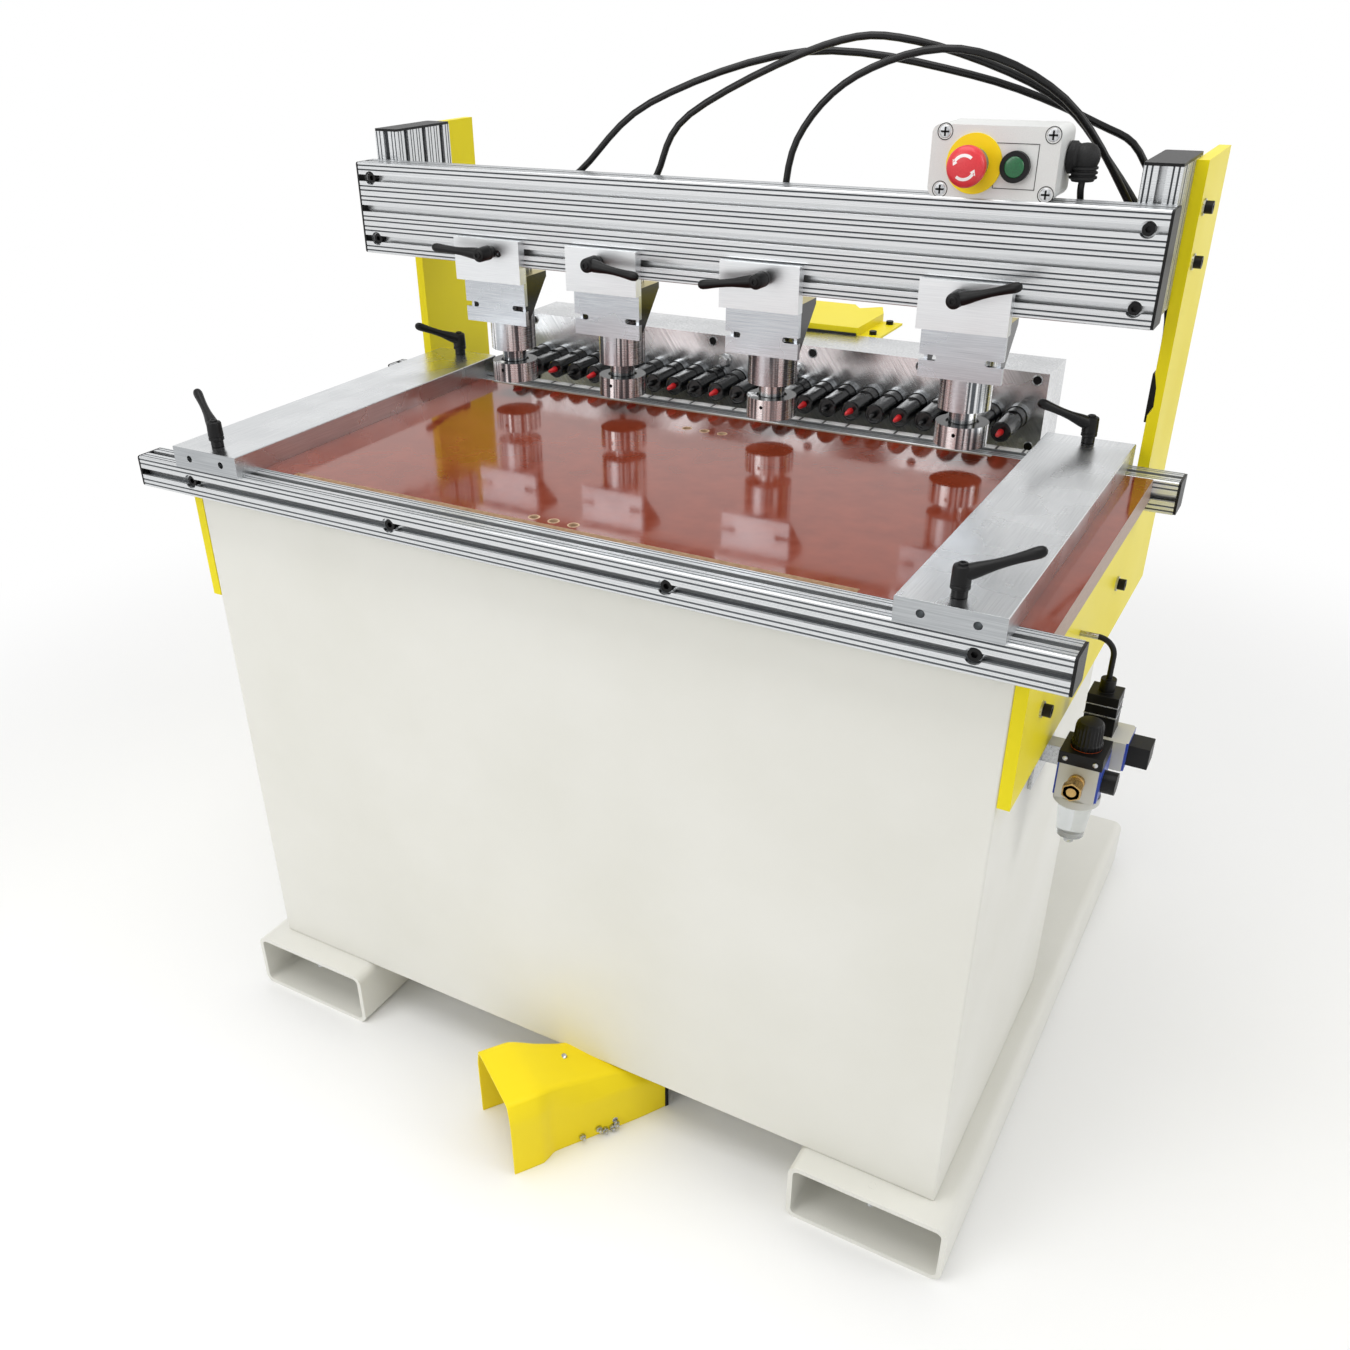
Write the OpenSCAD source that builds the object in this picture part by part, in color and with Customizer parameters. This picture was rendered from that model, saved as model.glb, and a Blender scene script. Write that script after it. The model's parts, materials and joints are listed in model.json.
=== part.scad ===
// Horizontal boring machine with air clamps on a T-slot beam and a many-spindle head.
// The sketch axes are: x to the operator's right, y away from the operator, z up,
// with x = 0 in the middle, y = 0 on the front beam's face and z = 0 on the floor.

/* [Extrusions] */
// Side of one square T-slot module
bar = 38.1; // [36:0.1:42]
// Width of the slot's mouth
slot_w = 8.2; // [7:0.1:9]
// Thickness of the lips beside the mouth
lip_t = 3.5; // [2.5:0.1:5]
// Width of the slot's inner chamber
chamber_w = 20; // [17:0.5:21]
// Depth of the whole slot below the face
slot_d = 11; // [9:0.5:12]
// Width of a fine groove on the faces
groove_w = 1; // [0.6:0.1:1.4]
// Depth of a fine groove
groove_d = 0.5; // [0.2:0.1:0.8]
// Overhang of the table beams outside the side plates' inner faces
beam_over = 52.3; // [40:0.1:80]
// Modules in the clamp beam's height
clamp_beam_bars = 3; // [2:1:3]
// Modules in the depth of the short uprights
upright_bars = 3; // [2:1:3]
// Thickness of the black end caps
cap_t = 3; // [2:0.5:5]

/* [Table] */
// Height of the table's top above the floor
table_z = 842.5; // [830:0.5:870]
// Thickness of the table board
table_t = 25.4; // [22:0.2:32]
// Overhang of the table board outside the side plates' inner faces
table_over = 25.3; // [16:0.1:36]
// Distance between the two table beams
beam_gap = 438.7; // [438:0.1:441]
// Clearance between the board and each beam
table_clear = 0.5; // [0.2:0.1:1]
// Radius of the stop holes
stop_hole_r = 5; // [4:0.5:6]
// Distance between neighbouring stop holes
stop_hole_pitch = 25; // [20:1:30]

/* [Base] */
// Width of one skid tube
skid_w = 200; // [180:5:220]
// Height of a skid tube
skid_h = 88; // [80:1:100]
// Wall of a skid tube
skid_wall = 6.4; // [5:0.2:8]
// Outer corner radius of a skid tube
skid_r = 14; // [10:1:18]
// Overhang of a skid outside the side plates' inner faces
skid_over = 28.3; // [20:0.1:40]
// Length of the skids
skid_l = 935; // [930:5:960]
// Place of the skids' front ends
skid_y = 3; // [0:1:10]
// Thickness of the cabinet's sheet
sheet_t = 3; // [2:0.5:5]
// Half of the width between the side plates
plate_x = 512.7; // [508:0.1:516]
// Thickness of a side plate
plate_t = 12.7; // [10:0.1:14]
// Drop of a side plate's arm below the table's top
arm_drop = 191.5; // [165:0.5:220]
// Place of the side plates' rear edges
plate_rear_y = 660; // [640:1:700]
// Rise of the side plates above the clamp beam's lower face
plate_rise = 147.6; // [130:0.1:165]
// Place of the pedestal's rear face
pedestal_rear_y = 780; // [760:5:800]

/* [Clamps] */
// Height of the clamp beam's lower face above the table's top
clamp_rise = 176.9; // [170:0.1:190]
// Place of the clamp beam's front face
clamp_beam_y = 403; // [400:0.5:406]
// Width of a clamp's upper plate
upper_w = 101.6; // [95:0.2:105]
// Thickness of a clamp's upper plate
upper_t = 12.7; // [9:0.1:14]
// Width of a clamp's lower plate
lower_w = 95; // [85:1:101]
// Thickness of a clamp's lower plate
lower_t = 6.4; // [5:0.1:6.4]
// Height of each clamp plate
clamp_plate_h = 53; // [50:0.5:60]
// Radius of a clamp's air cylinder
cylinder_r = 30; // [28:0.5:30]
// Radius of a clamp's piston rod
rod_r = 16; // [12:0.5:18]
// Radius of a clamp's foot
foot_r = 30.5; // [28:0.5:30.5]
// Height of a clamp's foot without its pad
foot_h = 22; // [18:0.5:24]
// Thickness of the black pad under a foot
pad_t = 3; // [2:0.5:4]

/* [Boring head] */
// Distance between neighbouring spindles
pitch = 32; // [31.9:0.05:32.1]
// Height of the spindles' axes above the table's top
spindle_rise = 17.3; // [15:0.1:21]
// Teeth on each spindle's gear
teeth = 16; // [16:2:20]
// Width of a spindle's gear
gear_w = 16; // [12:1:18]
// Place of the head's front face
head_y = 587; // [585:0.5:595]
// Thickness of the head's front block
block_d = 63; // [60:1:66]
// Thickness of the head's rear cover
cover_d = 17; // [14:1:20]
// Width of the head beside the outermost spindles
head_side = 32; // [28:1:38]
// Height of the head's top above the spindles' axes
head_rise = 55.2; // [50:0.2:65]
// Radius of a spindle shaft in its front bearing
shaft_r = 8; // [7:0.5:9]
// Radius of a spindle shaft in its rear bearing
journal_r = 6; // [5:0.5:7]
// Radial clearance of a running fit
fit = 0.05; // [0.02:0.01:0.08]
// Radius of a spindle's bright collar
collar_r = 14.3; // [13.5:0.1:15.5]
// Radius of a chuck
chuck_r = 12.3; // [11:0.1:12.8]
// Place of the chucks' front ends
chuck_y = 512; // [510:1:520]
// Radius of a bit
bit_r = 4; // [3:0.5:5]
// Place of the bits' points
bit_y = 495; // [494:0.5:500]

/* [Fences] */
// Width of a fence
fence_w = 101.6; // [90:0.2:110]
// Thickness of a fence
fence_t = 25.4; // [20:0.2:28]
// Overhang of a fence in front of the front beam
fence_over = 5; // [0:1:10]
// Place of a fence's rear end
fence_rear_y = 513; // [505:0.5:514]
// Distance from the left side plate to the left fence's centre line
fence_left_in = 70; // [62:0.1:73]
// Distance from the right side plate to the right fence's centre line
fence_right_in = 55.7; // [52:0.1:67]
// Radius of the tapped holes in a fence's front end
tap_r = 4; // [3:0.5:5]
// Depth of the tapped holes
tap_l = 20; // [15:1:25]
// Distance between the two tapped holes
tap_pitch = 51.2; // [40:0.2:60]

/* [Levers] */
// Radius of a lever's threaded stud
stud_r = 3.8; // [3.5:0.1:4]
// Radius of a lever's hub
hub_r = 9; // [8:0.5:10]
// Height of a lever's hub
hub_h = 30; // [26:1:34]
// Length of a lever's arm from its axis
arm_l = 72; // [60:1:75]

/* [Control box] */
// Place of the box's left side
box_x = 268; // [260:1:275]
// Width of the control box
box_w = 132; // [125:1:140]
// Height of the control box
box_h = 69; // [65:1:75]
// Depth of the control box
box_d = 62; // [55:1:64]
// Radius of the e-stop's mushroom
mushroom_r = 20; // [18:0.5:22]
// Travel of the e-stop
estop_travel = 5; // [3:0.5:6]
// Radius of the start button
start_r = 10; // [9:0.5:11]
// Travel of the start button
start_travel = 3; // [2:0.5:4]

/* [Air unit] */
// Place of the filter regulator's centre, across
unit_x = 562; // [560:1:566]
// Place of the filter regulator's centre, front to back
unit_y = 185; // [180:1:200]
// Side of the regulator's square body
unit_w = 40; // [36:1:42]
// Radius of the regulator's knob
knob_r = 13.5; // [12:0.5:15]
// Height of the regulator body's lower face
unit_z = 600; // [590:1:615]

/* [Foot pedal] */
// Place of the pedal's front edge, across
pedal_x = -40; // [-60:1:-20]
// Place of the pedal's front edge, front to back
pedal_y = -81; // [-90:1:-75]
// Turn of the pedal from the x axis
pedal_turn = 56; // [50:1:60]
// Width of the pedal guard at the floor
pedal_w = 124; // [110:1:130]
// Length of the pedal guard
pedal_l = 232; // [220:1:245]
// Height of the pedal guard at its mouth
pedal_h = 118; // [110:1:125]
// Wall of the pedal guard
pedal_wall = 3; // [2:0.5:4]

/* [Hidden] */
$fn = 48;

// Clearance between pieces that slide or lie beside each other
gap = 0.3;

// Fine grooves beside each slot, and their spacing
grooves = 4;
groove_step = 2.6;

// Socket screws and their washers
screw_head_r = 6.5;
screw_head_h = 8;
screw_r = 4;
counterbore_r = 8.5;
washer_t = 2;

// Frame places that follow from the sizes above
beam_l = 2 * (plate_x + beam_over);
clamp_beam_l = 2 * (plate_x + 2.3);
table_w = 2 * (plate_x + table_over);
skid_x = plate_x + skid_over - skid_w / 2;
arm_z = table_z - arm_drop;
clamp_beam_z = table_z + clamp_rise;
plate_top_z = clamp_beam_z + plate_rise;
fence_left_x = fence_left_in - plate_x;
fence_right_x = plate_x - fence_right_in;
table_bottom_z = table_z - table_t;
beam_z = table_z - bar;
rear_beam_y = bar + beam_gap;
upright_y = rear_beam_y + bar;
clamp_beam_back_y = clamp_beam_y + bar;
clamp_beam_top_z = clamp_beam_z + clamp_beam_bars * bar;
short_top_z = plate_top_z + 1;
front_slot_y = bar / 2;
rear_slot_y = rear_beam_y + bar / 2;

// Places of the screws in the side plates, the front beam and the clamp beam
plate_screws = [
  [upright_y + bar / 2, clamp_beam_z + 2.64 * bar], [upright_y + bar / 2, clamp_beam_z + 1.2 * bar],
  [440, arm_z + 76], [110, arm_z + 76]];
recess_w = 5;
recess_d = 60;
beam_screw_x = [plate_x - 31.7, 174];
clamp_screw_x = plate_x - 16.7;

// Anchor bolts in the skids
anchor_y = 22;
anchor_r = 5;

// Stop holes in the table: the middle one's place and the two rows
stop_x = 8;
stop_rows = [56.6, 404.6];

// Rebates for the strips along the table's front and rear edges, from left to right
rebate_w = 7;
rebate_d = 4;
front_rebate = [-345, 357];
rear_rebate = [-370, 355];

// Fence levers: left front, left rear, right front, right rear
fence_lever_x = [fence_left_x, fence_left_x, fence_right_x, fence_right_x];
fence_lever_y = [front_slot_y, rear_slot_y, front_slot_y, rear_slot_y];
fence_lever_turn = [150, 245, 12, 218];

// Clamp places from left to right, with each lever's place and its turn in the plate's plane
clamp_x = [-304, -132, 83, 324.7];
lever_dx = [9, -2, 9, -3];
lever_angle = [176, -6, 187, 17];
screw_dx = [19, -14, 11, -12];
lower_z = clamp_beam_z - 74.4;
slot_z = lower_z + 22;
slot_h = 6.5;
slot_in = 17;
upper_z = lower_z + clamp_plate_h + 2;
nut_z = clamp_beam_z + bar / 2;
lower_back_y = clamp_beam_y + lower_t;
cylinder_y = lower_back_y + cylinder_r;
cylinder_low_z = lower_z - 38;
cylinder_top_z = clamp_beam_z - 6;
rod_out = 17;
foot_top_z = cylinder_low_z - rod_out;
pad_z = foot_top_z - foot_h - pad_t;
port_y = clamp_beam_back_y + 15;
port_z = cylinder_top_z + 21;

// Shelf and gussets that hold a clamp's cylinder behind its lower plate
shelf_z = clamp_beam_z - 21.4;
shelf_t = 8;
shelf_d = 52;
gusset_t = 4;

// Boring head places
spindle_count = 23;
middle = (spindle_count + 1) / 2;
head_x = (middle - 1) * pitch + head_side;
spindle_z = table_z + spindle_rise;
head_top_z = spindle_z + head_rise;
head_back_y = head_y + block_d + cover_d;
pocket_y = head_y + 35;
gear_y = pocket_y + 5;
chuck_l = 68;
chamfer = 1.5;
carriage_z = spindle_z - 72.5;
carriage_t = 12.7;
carriage_l = 130;
head_low_z = carriage_z + carriage_t;
block_w = 44;
block_l = 50;
rail_x = head_x - 124;
rail_w = 20;
rail_h = 18;
slide_plate_t = 12.7;
slide_z = carriage_z - 52;
slide_y = head_y - 67;
slide_l = 230;
rail_z = slide_z + slide_plate_t;
rail_y = slide_y + 10;
rail_l = 205;
pedestal_x = head_x;
feed_x = -150;
feed_z = rail_z + 19.5;
feed_r = 17;
feed_y = head_y + 33;
feed_l = 120;
feed_rod_l = 120;
motor_r = 50;
motor_l = 143;

// Sheet guard behind the head's middle: its left and right edges, its height and its screws
guard_x = [-75, 105];
guard_top_z = head_top_z + 10;
guard_t = 2;
guard_d = 133;
guard_screws = [18, 83];
flange_w = 30;

// Control box and its buttons
box_y = clamp_beam_y + 2;
estop_x = box_x + 47;
estop_z = clamp_beam_top_z + 33;
start_x = box_x + 90;
start_z = clamp_beam_top_z + 32;
mushroom_out = estop_travel + 8;
stem_l = 16;
stem_r = 11;
start_stem_r = 8;
elbow_x = box_x + box_w + 16;
elbow_y = box_y + 45;
elbow_z = clamp_beam_top_z + 38;

// Air unit
unit_body_h = 42;
unit_collar_h = 14;
unit_knob_h = 44;
valve_x = unit_x + 12;
valve_y = unit_y + 66;
valve_reach = 24;
coil_top = 102;
cable_bend = 18;
unit_top_z = unit_z + unit_body_h;

// Air hoses, the control cable and the manifold that they end on
hose_sides = 8;
hose_r = 4;
cable_r = 3.5;
manifold_z = plate_top_z - 237;
manifold_y = plate_rear_y - 72;
manifold_l = 70;
manifold_w = 12.7;
manifold_h = 58;
manifold_x = plate_x - 6.7;

// Bends of the clamp hoses and of the control cable, each from its own start
hose_bends = [
  [[2, 1, 18], [34, 2, 51], [106, 2, 97], [203, 10, 175], [384, 44, 228], [565, 84, 205],
    [693, 144, 156], [752, 154, 114]],
  [[1, 1, 20], [20, 2, 56], [44, 2, 98], [85, 8, 164], [242, 26, 235], [342, 44, 239],
    [480, 89, 188], [546, 134, 116], [616, 139, 26]],
  [[0, 1, 14], [-3, 2, 56], [10, 4, 142], [73, 14, 207], [179, 34, 232], [285, 76, 184],
    [360, 122, 78]],
  [[3, 4, 16], [25, 29, 42], [70, 64, 56], [115, 96, 49], [153, 108, 18]]];
cable_bends = [[0, 1, -16], [4, 20, -52], [19, 60, -86], [39, 110, -108], [56, 180, -116]];

// Pedal: the treadle and its pin
treadle_pin_u = 150;
treadle_pin_z = 16;
treadle_pin_r = 4;
treadle_pin_l = 0.81 * pedal_w;
treadle_l = 120;
treadle_w = 80;
treadle_t = 6;

// The whole object's reach, which puts its bottom centre on the origin
reach_left = -(beam_l / 2 + cap_t);
reach_right = valve_x + unit_w / 2 + valve_reach;
reach_front = pedal_y - pedal_w / 2 * cos(pedal_turn);
reach_rear = skid_y + skid_l;
origin_shift = [-(reach_left + reach_right) / 2, -(reach_front + reach_rear) / 2, 0];

// Colours as photographed
cream = "#e4e1d6";
yellow = "#ecdc2c";
alu = "#c6c8ca";
bright = "#d8dadb";
black = "#1c1c1e";
board = "#8a4a35";
red = "#d8262c";

// Extrudes a sketch in x and z along the y axis
module along_y(y, l) {
  translate([0, y + l, 0]) rotate([90, 0, 0]) linear_extrude(l) children();
}

// Extrudes a sketch in y and z along the x axis
module along_x(x, l) {
  translate([x, 0, 0]) rotate([90, 0, 90]) linear_extrude(l) children();
}

// Round bar along y, from y towards the back
module bar_y(x, y, z, r, l) {
  translate([x, y + l, z]) rotate([90, 0, 0]) cylinder(h = l, r = r);
}

// Rectangle with rounded corners, standing on its lower edge
module round_rect(w, h, r) {
  translate([-w / 2 + r, 0]) square([w - 2 * r, h]);
  translate([-w / 2, r]) square([w, h - 2 * r]);
  for (x = [-w / 2 + r, w / 2 - r], y = [r, h - r]) translate([x, y]) circle(r);
}

// One T-slot walked along a face: u along the face, v below zero inside the metal
function slot_walk(c) = [
  [c - slot_w / 2, 0], [c - slot_w / 2, -lip_t], [c - chamber_w / 2, -lip_t],
  [c - chamber_w / 2, -lip_t - 3], [c - chamber_w / 4, -slot_d], [c + chamber_w / 4, -slot_d],
  [c + chamber_w / 2, -lip_t - 3], [c + chamber_w / 2, -lip_t], [c + slot_w / 2, -lip_t],
  [c + slot_w / 2, 0]];

// One fine groove walked along a face
function groove_walk(c) = [[c - groove_w / 2, 0], [c, -groove_d], [c + groove_w / 2, 0]];

function groove_off(k) = slot_w / 2 + 3.4 + k * groove_step;

// A face of n modules: grooves, slot and grooves again on each
function face_walk(n) = [for (i = [0:n - 1]) let (c = (i + 0.5) * bar) each concat(
  [for (k = [grooves - 1:-1:0]) each groove_walk(c - groove_off(k))],
  slot_walk(c),
  [for (k = [0:grooves - 1]) each groove_walk(c + groove_off(k))])];

// Outline of a T-slot profile of nu by nv modules, with its corner at the origin
function profile_walk(nu, nv) = let (w = nu * bar, h = nv * bar) concat(
  [[1, 0]], [for (p = face_walk(nu)) [p[0], -p[1]]], [[w - 1, 0]],
  [[w, 1]], [for (p = face_walk(nv)) [w + p[1], p[0]]], [[w, h - 1]],
  [[w - 1, h]], [for (p = face_walk(nu)) [w - p[0], h + p[1]]], [[1, h]],
  [[0, h - 1]], [for (p = face_walk(nv)) [-p[1], h - p[0]]], [[0, 1]]);

module profile(nu, nv) {
  polygon(profile_walk(nu, nv));
}

// Socket screw pointing along +y, its head's front at y
module screw_y(x, y, z, l) {
  difference() {
    union() {
      bar_y(x, y, z, screw_head_r, screw_head_h);
      bar_y(x, y, z, screw_r, l);
    }
    translate([x, y + 4, z]) rotate([90, 0, 0]) cylinder(h = 5, r = 3.4, $fn = 6);
  }
}

// Socket screw through a side plate, its head outside; s is -1 on the left and 1 on the right
module screw_x(s, y, z, l) {
  translate([s * (plate_x + plate_t + washer_t + screw_head_h), y, z]) rotate([0, -90 * s, 0])
    difference() {
      union() {
        cylinder(h = screw_head_h, r = screw_head_r);
        cylinder(h = screw_head_h + washer_t + l, r = screw_r);
      }
      translate([0, 0, -1]) cylinder(h = 5, r = 3.4, $fn = 6);
    }
}

module skids() {
  color(cream) for (s = [-1, 1]) translate([s * skid_x, 0, 0]) difference() {
    along_y(skid_y, skid_l) round_rect(skid_w, skid_h, skid_r);
    along_y(skid_y - 1, skid_l + 2) translate([0, skid_wall])
      round_rect(skid_w - 2 * skid_wall, skid_h - 2 * skid_wall, skid_r - skid_wall);
    translate([0, skid_y + anchor_y, skid_h - skid_wall - 1])
      cylinder(h = skid_wall + 2, r = anchor_r + fit);
  }
  color("#a8a8a4") for (s = [-1, 1]) translate([s * skid_x, skid_y + anchor_y, 0]) {
    translate([0, 0, skid_h - skid_wall - 26]) cylinder(h = 26 + skid_wall, r = anchor_r);
    translate([0, 0, skid_h - skid_wall - 10]) cylinder(h = 10, r = 10, $fn = 6);
  }
}

module cabinet() {
  w = 2 * plate_x;
  color(cream) difference() {
    union() {
      translate([-plate_x, bar, skid_h]) cube([w, beam_gap, table_bottom_z - skid_h]);
      translate([-pedestal_x, rear_beam_y - sheet_t, skid_h])
        cube([2 * pedestal_x, pedestal_rear_y - rear_beam_y + sheet_t, slide_z - skid_h]);
    }
    translate([-plate_x + sheet_t, bar + sheet_t, skid_h + sheet_t])
      cube([w - 2 * sheet_t, beam_gap - 2 * sheet_t, table_bottom_z - skid_h - 2 * sheet_t]);
    translate([-pedestal_x + sheet_t, rear_beam_y, skid_h + sheet_t])
      cube([2 * (pedestal_x - sheet_t), pedestal_rear_y - rear_beam_y - sheet_t,
        slide_z - skid_h - 2 * sheet_t]);
  }
}

module side_plates() {
  outline = [[bar, arm_z], [plate_rear_y, arm_z], [plate_rear_y, plate_top_z],
    [upright_y, plate_top_z], [upright_y, beam_z], [rear_beam_y, beam_z],
    [rear_beam_y, table_bottom_z], [bar, table_bottom_z]];
  color(yellow) for (s = [-1, 1]) difference() {
    along_x(s > 0 ? plate_x : -plate_x - plate_t, plate_t) polygon(outline);
    for (p = plate_screws) translate([s * (plate_x - 1), p[0], p[1]]) rotate([0, 90 * s, 0])
      cylinder(h = plate_t + 2, r = screw_r + fit);
    // Recess for the hoses in the right plate's front edge
    if (s > 0) along_y(upright_y - 1, recess_d + 1) translate([plate_x, manifold_z])
      polygon([[-1, -28], [1, -28], [recess_w, -20], [recess_w - 1, 3], [0.5, 17], [-1, 17]]);
  }
}

module table_beams() {
  color(alu) {
    difference() {
      along_x(-beam_l / 2, beam_l) translate([0, beam_z]) profile(1, 1);
      for (x = beam_screw_x, s = [-1, 1]) {
        bar_y(s * x, -1, beam_z + bar / 2, counterbore_r, slot_d + 1);
        bar_y(s * x, 0, beam_z + bar / 2, screw_r + fit, bar + 1);
      }
    }
    along_x(-beam_l / 2, beam_l) translate([rear_beam_y, beam_z]) profile(1, 1);
  }
}

module clamp_frame() {
  color(alu) {
    difference() {
      along_x(-clamp_beam_l / 2, clamp_beam_l) translate([clamp_beam_y, clamp_beam_z])
        profile(1, clamp_beam_bars);
      for (s = [-1, 1], k = [0, clamp_beam_bars - 1]) {
        bar_y(s * clamp_screw_x, clamp_beam_y - 1, clamp_beam_z + (k + 0.5) * bar,
          counterbore_r, slot_d + 1);
        bar_y(s * clamp_screw_x, clamp_beam_y, clamp_beam_z + (k + 0.5) * bar,
          screw_r + fit, bar + 1);
      }
    }
    for (x = [-plate_x, plate_x - bar]) translate([x, clamp_beam_back_y, clamp_beam_z])
      linear_extrude(short_top_z - clamp_beam_z) profile(1, upright_bars);
  }
}

module table_top() {
  y0 = bar + table_clear;
  d = beam_gap - 2 * table_clear;
  color(board) difference() {
    translate([-table_w / 2, y0, table_bottom_z]) cube([table_w, d, table_t]);
    translate([front_rebate[0], y0 - 1, table_z - rebate_d])
      cube([front_rebate[1] - front_rebate[0], rebate_w + 1, rebate_d + 1]);
    translate([rear_rebate[0], y0 + d - rebate_w, table_z - rebate_d])
      cube([rear_rebate[1] - rear_rebate[0], rebate_w + 1, rebate_d + 1]);
    for (y = stop_rows, k = [-1:1]) translate([stop_x + k * stop_hole_pitch, y, table_bottom_z - 1])
      cylinder(h = table_t + 2, r = stop_hole_r);
  }
}

// Cap on the end of a beam, a rounded plate of w by h
module end_cap(w, h) {
  translate([w / 2, 0]) round_rect(w, h, 3);
}

module caps_and_screws() {
  color(black) {
    for (s = [-1, 1]) {
      for (y = [0, rear_beam_y])
        along_x(s > 0 ? beam_l / 2 : -beam_l / 2 - cap_t, cap_t) translate([y, beam_z])
          end_cap(bar, bar);
      along_x(s > 0 ? clamp_beam_l / 2 : -clamp_beam_l / 2 - cap_t, cap_t)
        translate([clamp_beam_y, clamp_beam_z]) end_cap(bar, clamp_beam_bars * bar);
      translate([s * (plate_x - bar / 2), clamp_beam_back_y, short_top_z])
        linear_extrude(cap_t) round_rect(bar, upright_bars * bar, 3);
      for (x = beam_screw_x)
        screw_y(s * x, slot_d - screw_head_h, beam_z + bar / 2, bar - slot_d + screw_head_h);
      for (k = [0, clamp_beam_bars - 1])
        screw_y(s * clamp_screw_x, clamp_beam_y + slot_d - screw_head_h,
          clamp_beam_z + (k + 0.5) * bar, bar - slot_d + screw_head_h);
      for (p = plate_screws) screw_x(s, p[0], p[1], plate_t);
    }
  }
  color(bright) for (s = [-1, 1], p = plate_screws)
    translate([s * (plate_x + plate_t), p[0], p[1]]) rotate([0, 90 * s, 0]) difference() {
      cylinder(h = washer_t, r = 8.5);
      translate([0, 0, -1]) cylinder(h = washer_t + 2, r = screw_r + fit);
    }
}

// Outline of a spindle gear: a stub tooth of four flank points, repeated
module gear_outline(phase) {
  r = pitch / 2;
  m = pitch / teeth;
  a = 360 / teeth;
  half = [0.330, 0.285, 0.222, 0.135];
  rad = [r - 1.15 * m, r - 0.45 * m, r, r + 0.8 * m];
  pts = [for (i = [0:teeth - 1]) let (t = phase + i * a) each concat(
    [for (k = [0:3]) rad[k] * [cos(t - half[k] * a), sin(t - half[k] * a)]],
    [for (k = [3:-1:0]) rad[k] * [cos(t + half[k] * a), sin(t + half[k] * a)]])];
  polygon(pts);
}

function spindle_x(i) = (i - middle) * pitch;

module spindle(i) {
  x = spindle_x(i);
  drive = i == middle;
  color(i % 2 == 1 ? red : black) {
    bar_y(x, bit_y + 4, spindle_z, bit_r, chuck_y - bit_y);
    translate([x, bit_y + 4, spindle_z]) rotate([90, 0, 0]) cylinder(h = 4, r1 = bit_r, r2 = 0.6);
  }
  color(black) difference() {
    union() {
      translate([x, chuck_y + chamfer, spindle_z]) rotate([90, 0, 0])
        cylinder(h = chamfer, r1 = chuck_r, r2 = chuck_r - chamfer);
      bar_y(x, chuck_y + chamfer, spindle_z, chuck_r, chuck_l - chamfer - 6);
      bar_y(x, chuck_y + chuck_l - 18, spindle_z, collar_r - 1, 18);
    }
    // Flat for the set screw, and the nose's recess around the bit
    translate([x - chuck_r, chuck_y + 8, spindle_z + chuck_r - 1.4])
      cube([2 * chuck_r, chuck_l - 26, 3]);
    translate([x, chuck_y + chuck_l - 26, spindle_z + 6]) cylinder(h = 10, r = 2.5);
    translate([0, -1, 0]) difference() {
      bar_y(x, chuck_y, spindle_z, chuck_r - 3.5, 2.5);
      bar_y(x, chuck_y - 1, spindle_z, bit_r, 5);
    }
  }
  color(bright) {
    bar_y(x, chuck_y + chuck_l, spindle_z, collar_r, head_y - gap - chuck_y - chuck_l);
    bar_y(x, head_y - 1, spindle_z, shaft_r, gear_y - head_y + 1);
    bar_y(x, gear_y, spindle_z, journal_r, drive ? head_back_y + 40 - gear_y
      : head_y + block_d + 10 - gear_y);
    along_y(gear_y, gear_w) translate([x, spindle_z]) gear_outline(i % 2 == 0 ? 0 : 180 / teeth);
  }
}

module boring_head() {
  span = spindle_x(spindle_count);
  back_y = head_y + block_d;
  color(bright) {
    difference() {
      translate([-head_x, head_y, head_low_z]) cube([2 * head_x, block_d, head_top_z - head_low_z]);
      translate([-span - 20, pocket_y, spindle_z - 20])
        cube([2 * span + 40, back_y - pocket_y + 1, 40]);
      for (i = [1:spindle_count]) bar_y(spindle_x(i), head_y - 1, spindle_z, shaft_r + fit,
        pocket_y - head_y + 2);
    }
    difference() {
      translate([-head_x, back_y, head_low_z]) cube([2 * head_x, cover_d, head_top_z - head_low_z]);
      for (i = [1:spindle_count]) bar_y(spindle_x(i), back_y - 1, spindle_z, journal_r + fit,
        i == middle ? cover_d + 2 : 12.5);
    }
    translate([-head_x, head_y - 12, carriage_z]) cube([2 * head_x, carriage_l, carriage_t]);
    for (s = [-1, 1], y = [head_y - 7, head_y + 63])
      difference() {
        translate([s * rail_x - block_w / 2, y, rail_z + 4])
          cube([block_w, block_l, carriage_z - rail_z - 4]);
        translate([s * rail_x - rail_w / 2 - fit, y - 1, rail_z - 1])
          cube([rail_w + 2 * fit, block_l + 2, rail_h + 1 + fit]);
      }
    translate([feed_x - 15, head_y - 7, rail_z + 4]) cube([30, 12, carriage_z - rail_z - 4]);
    bar_y(feed_x, head_y + 4, feed_z, 5, feed_rod_l);
    bar_y(feed_x, feed_y + 60, feed_z, feed_r - 3 - fit, 10);
  }
}

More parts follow.
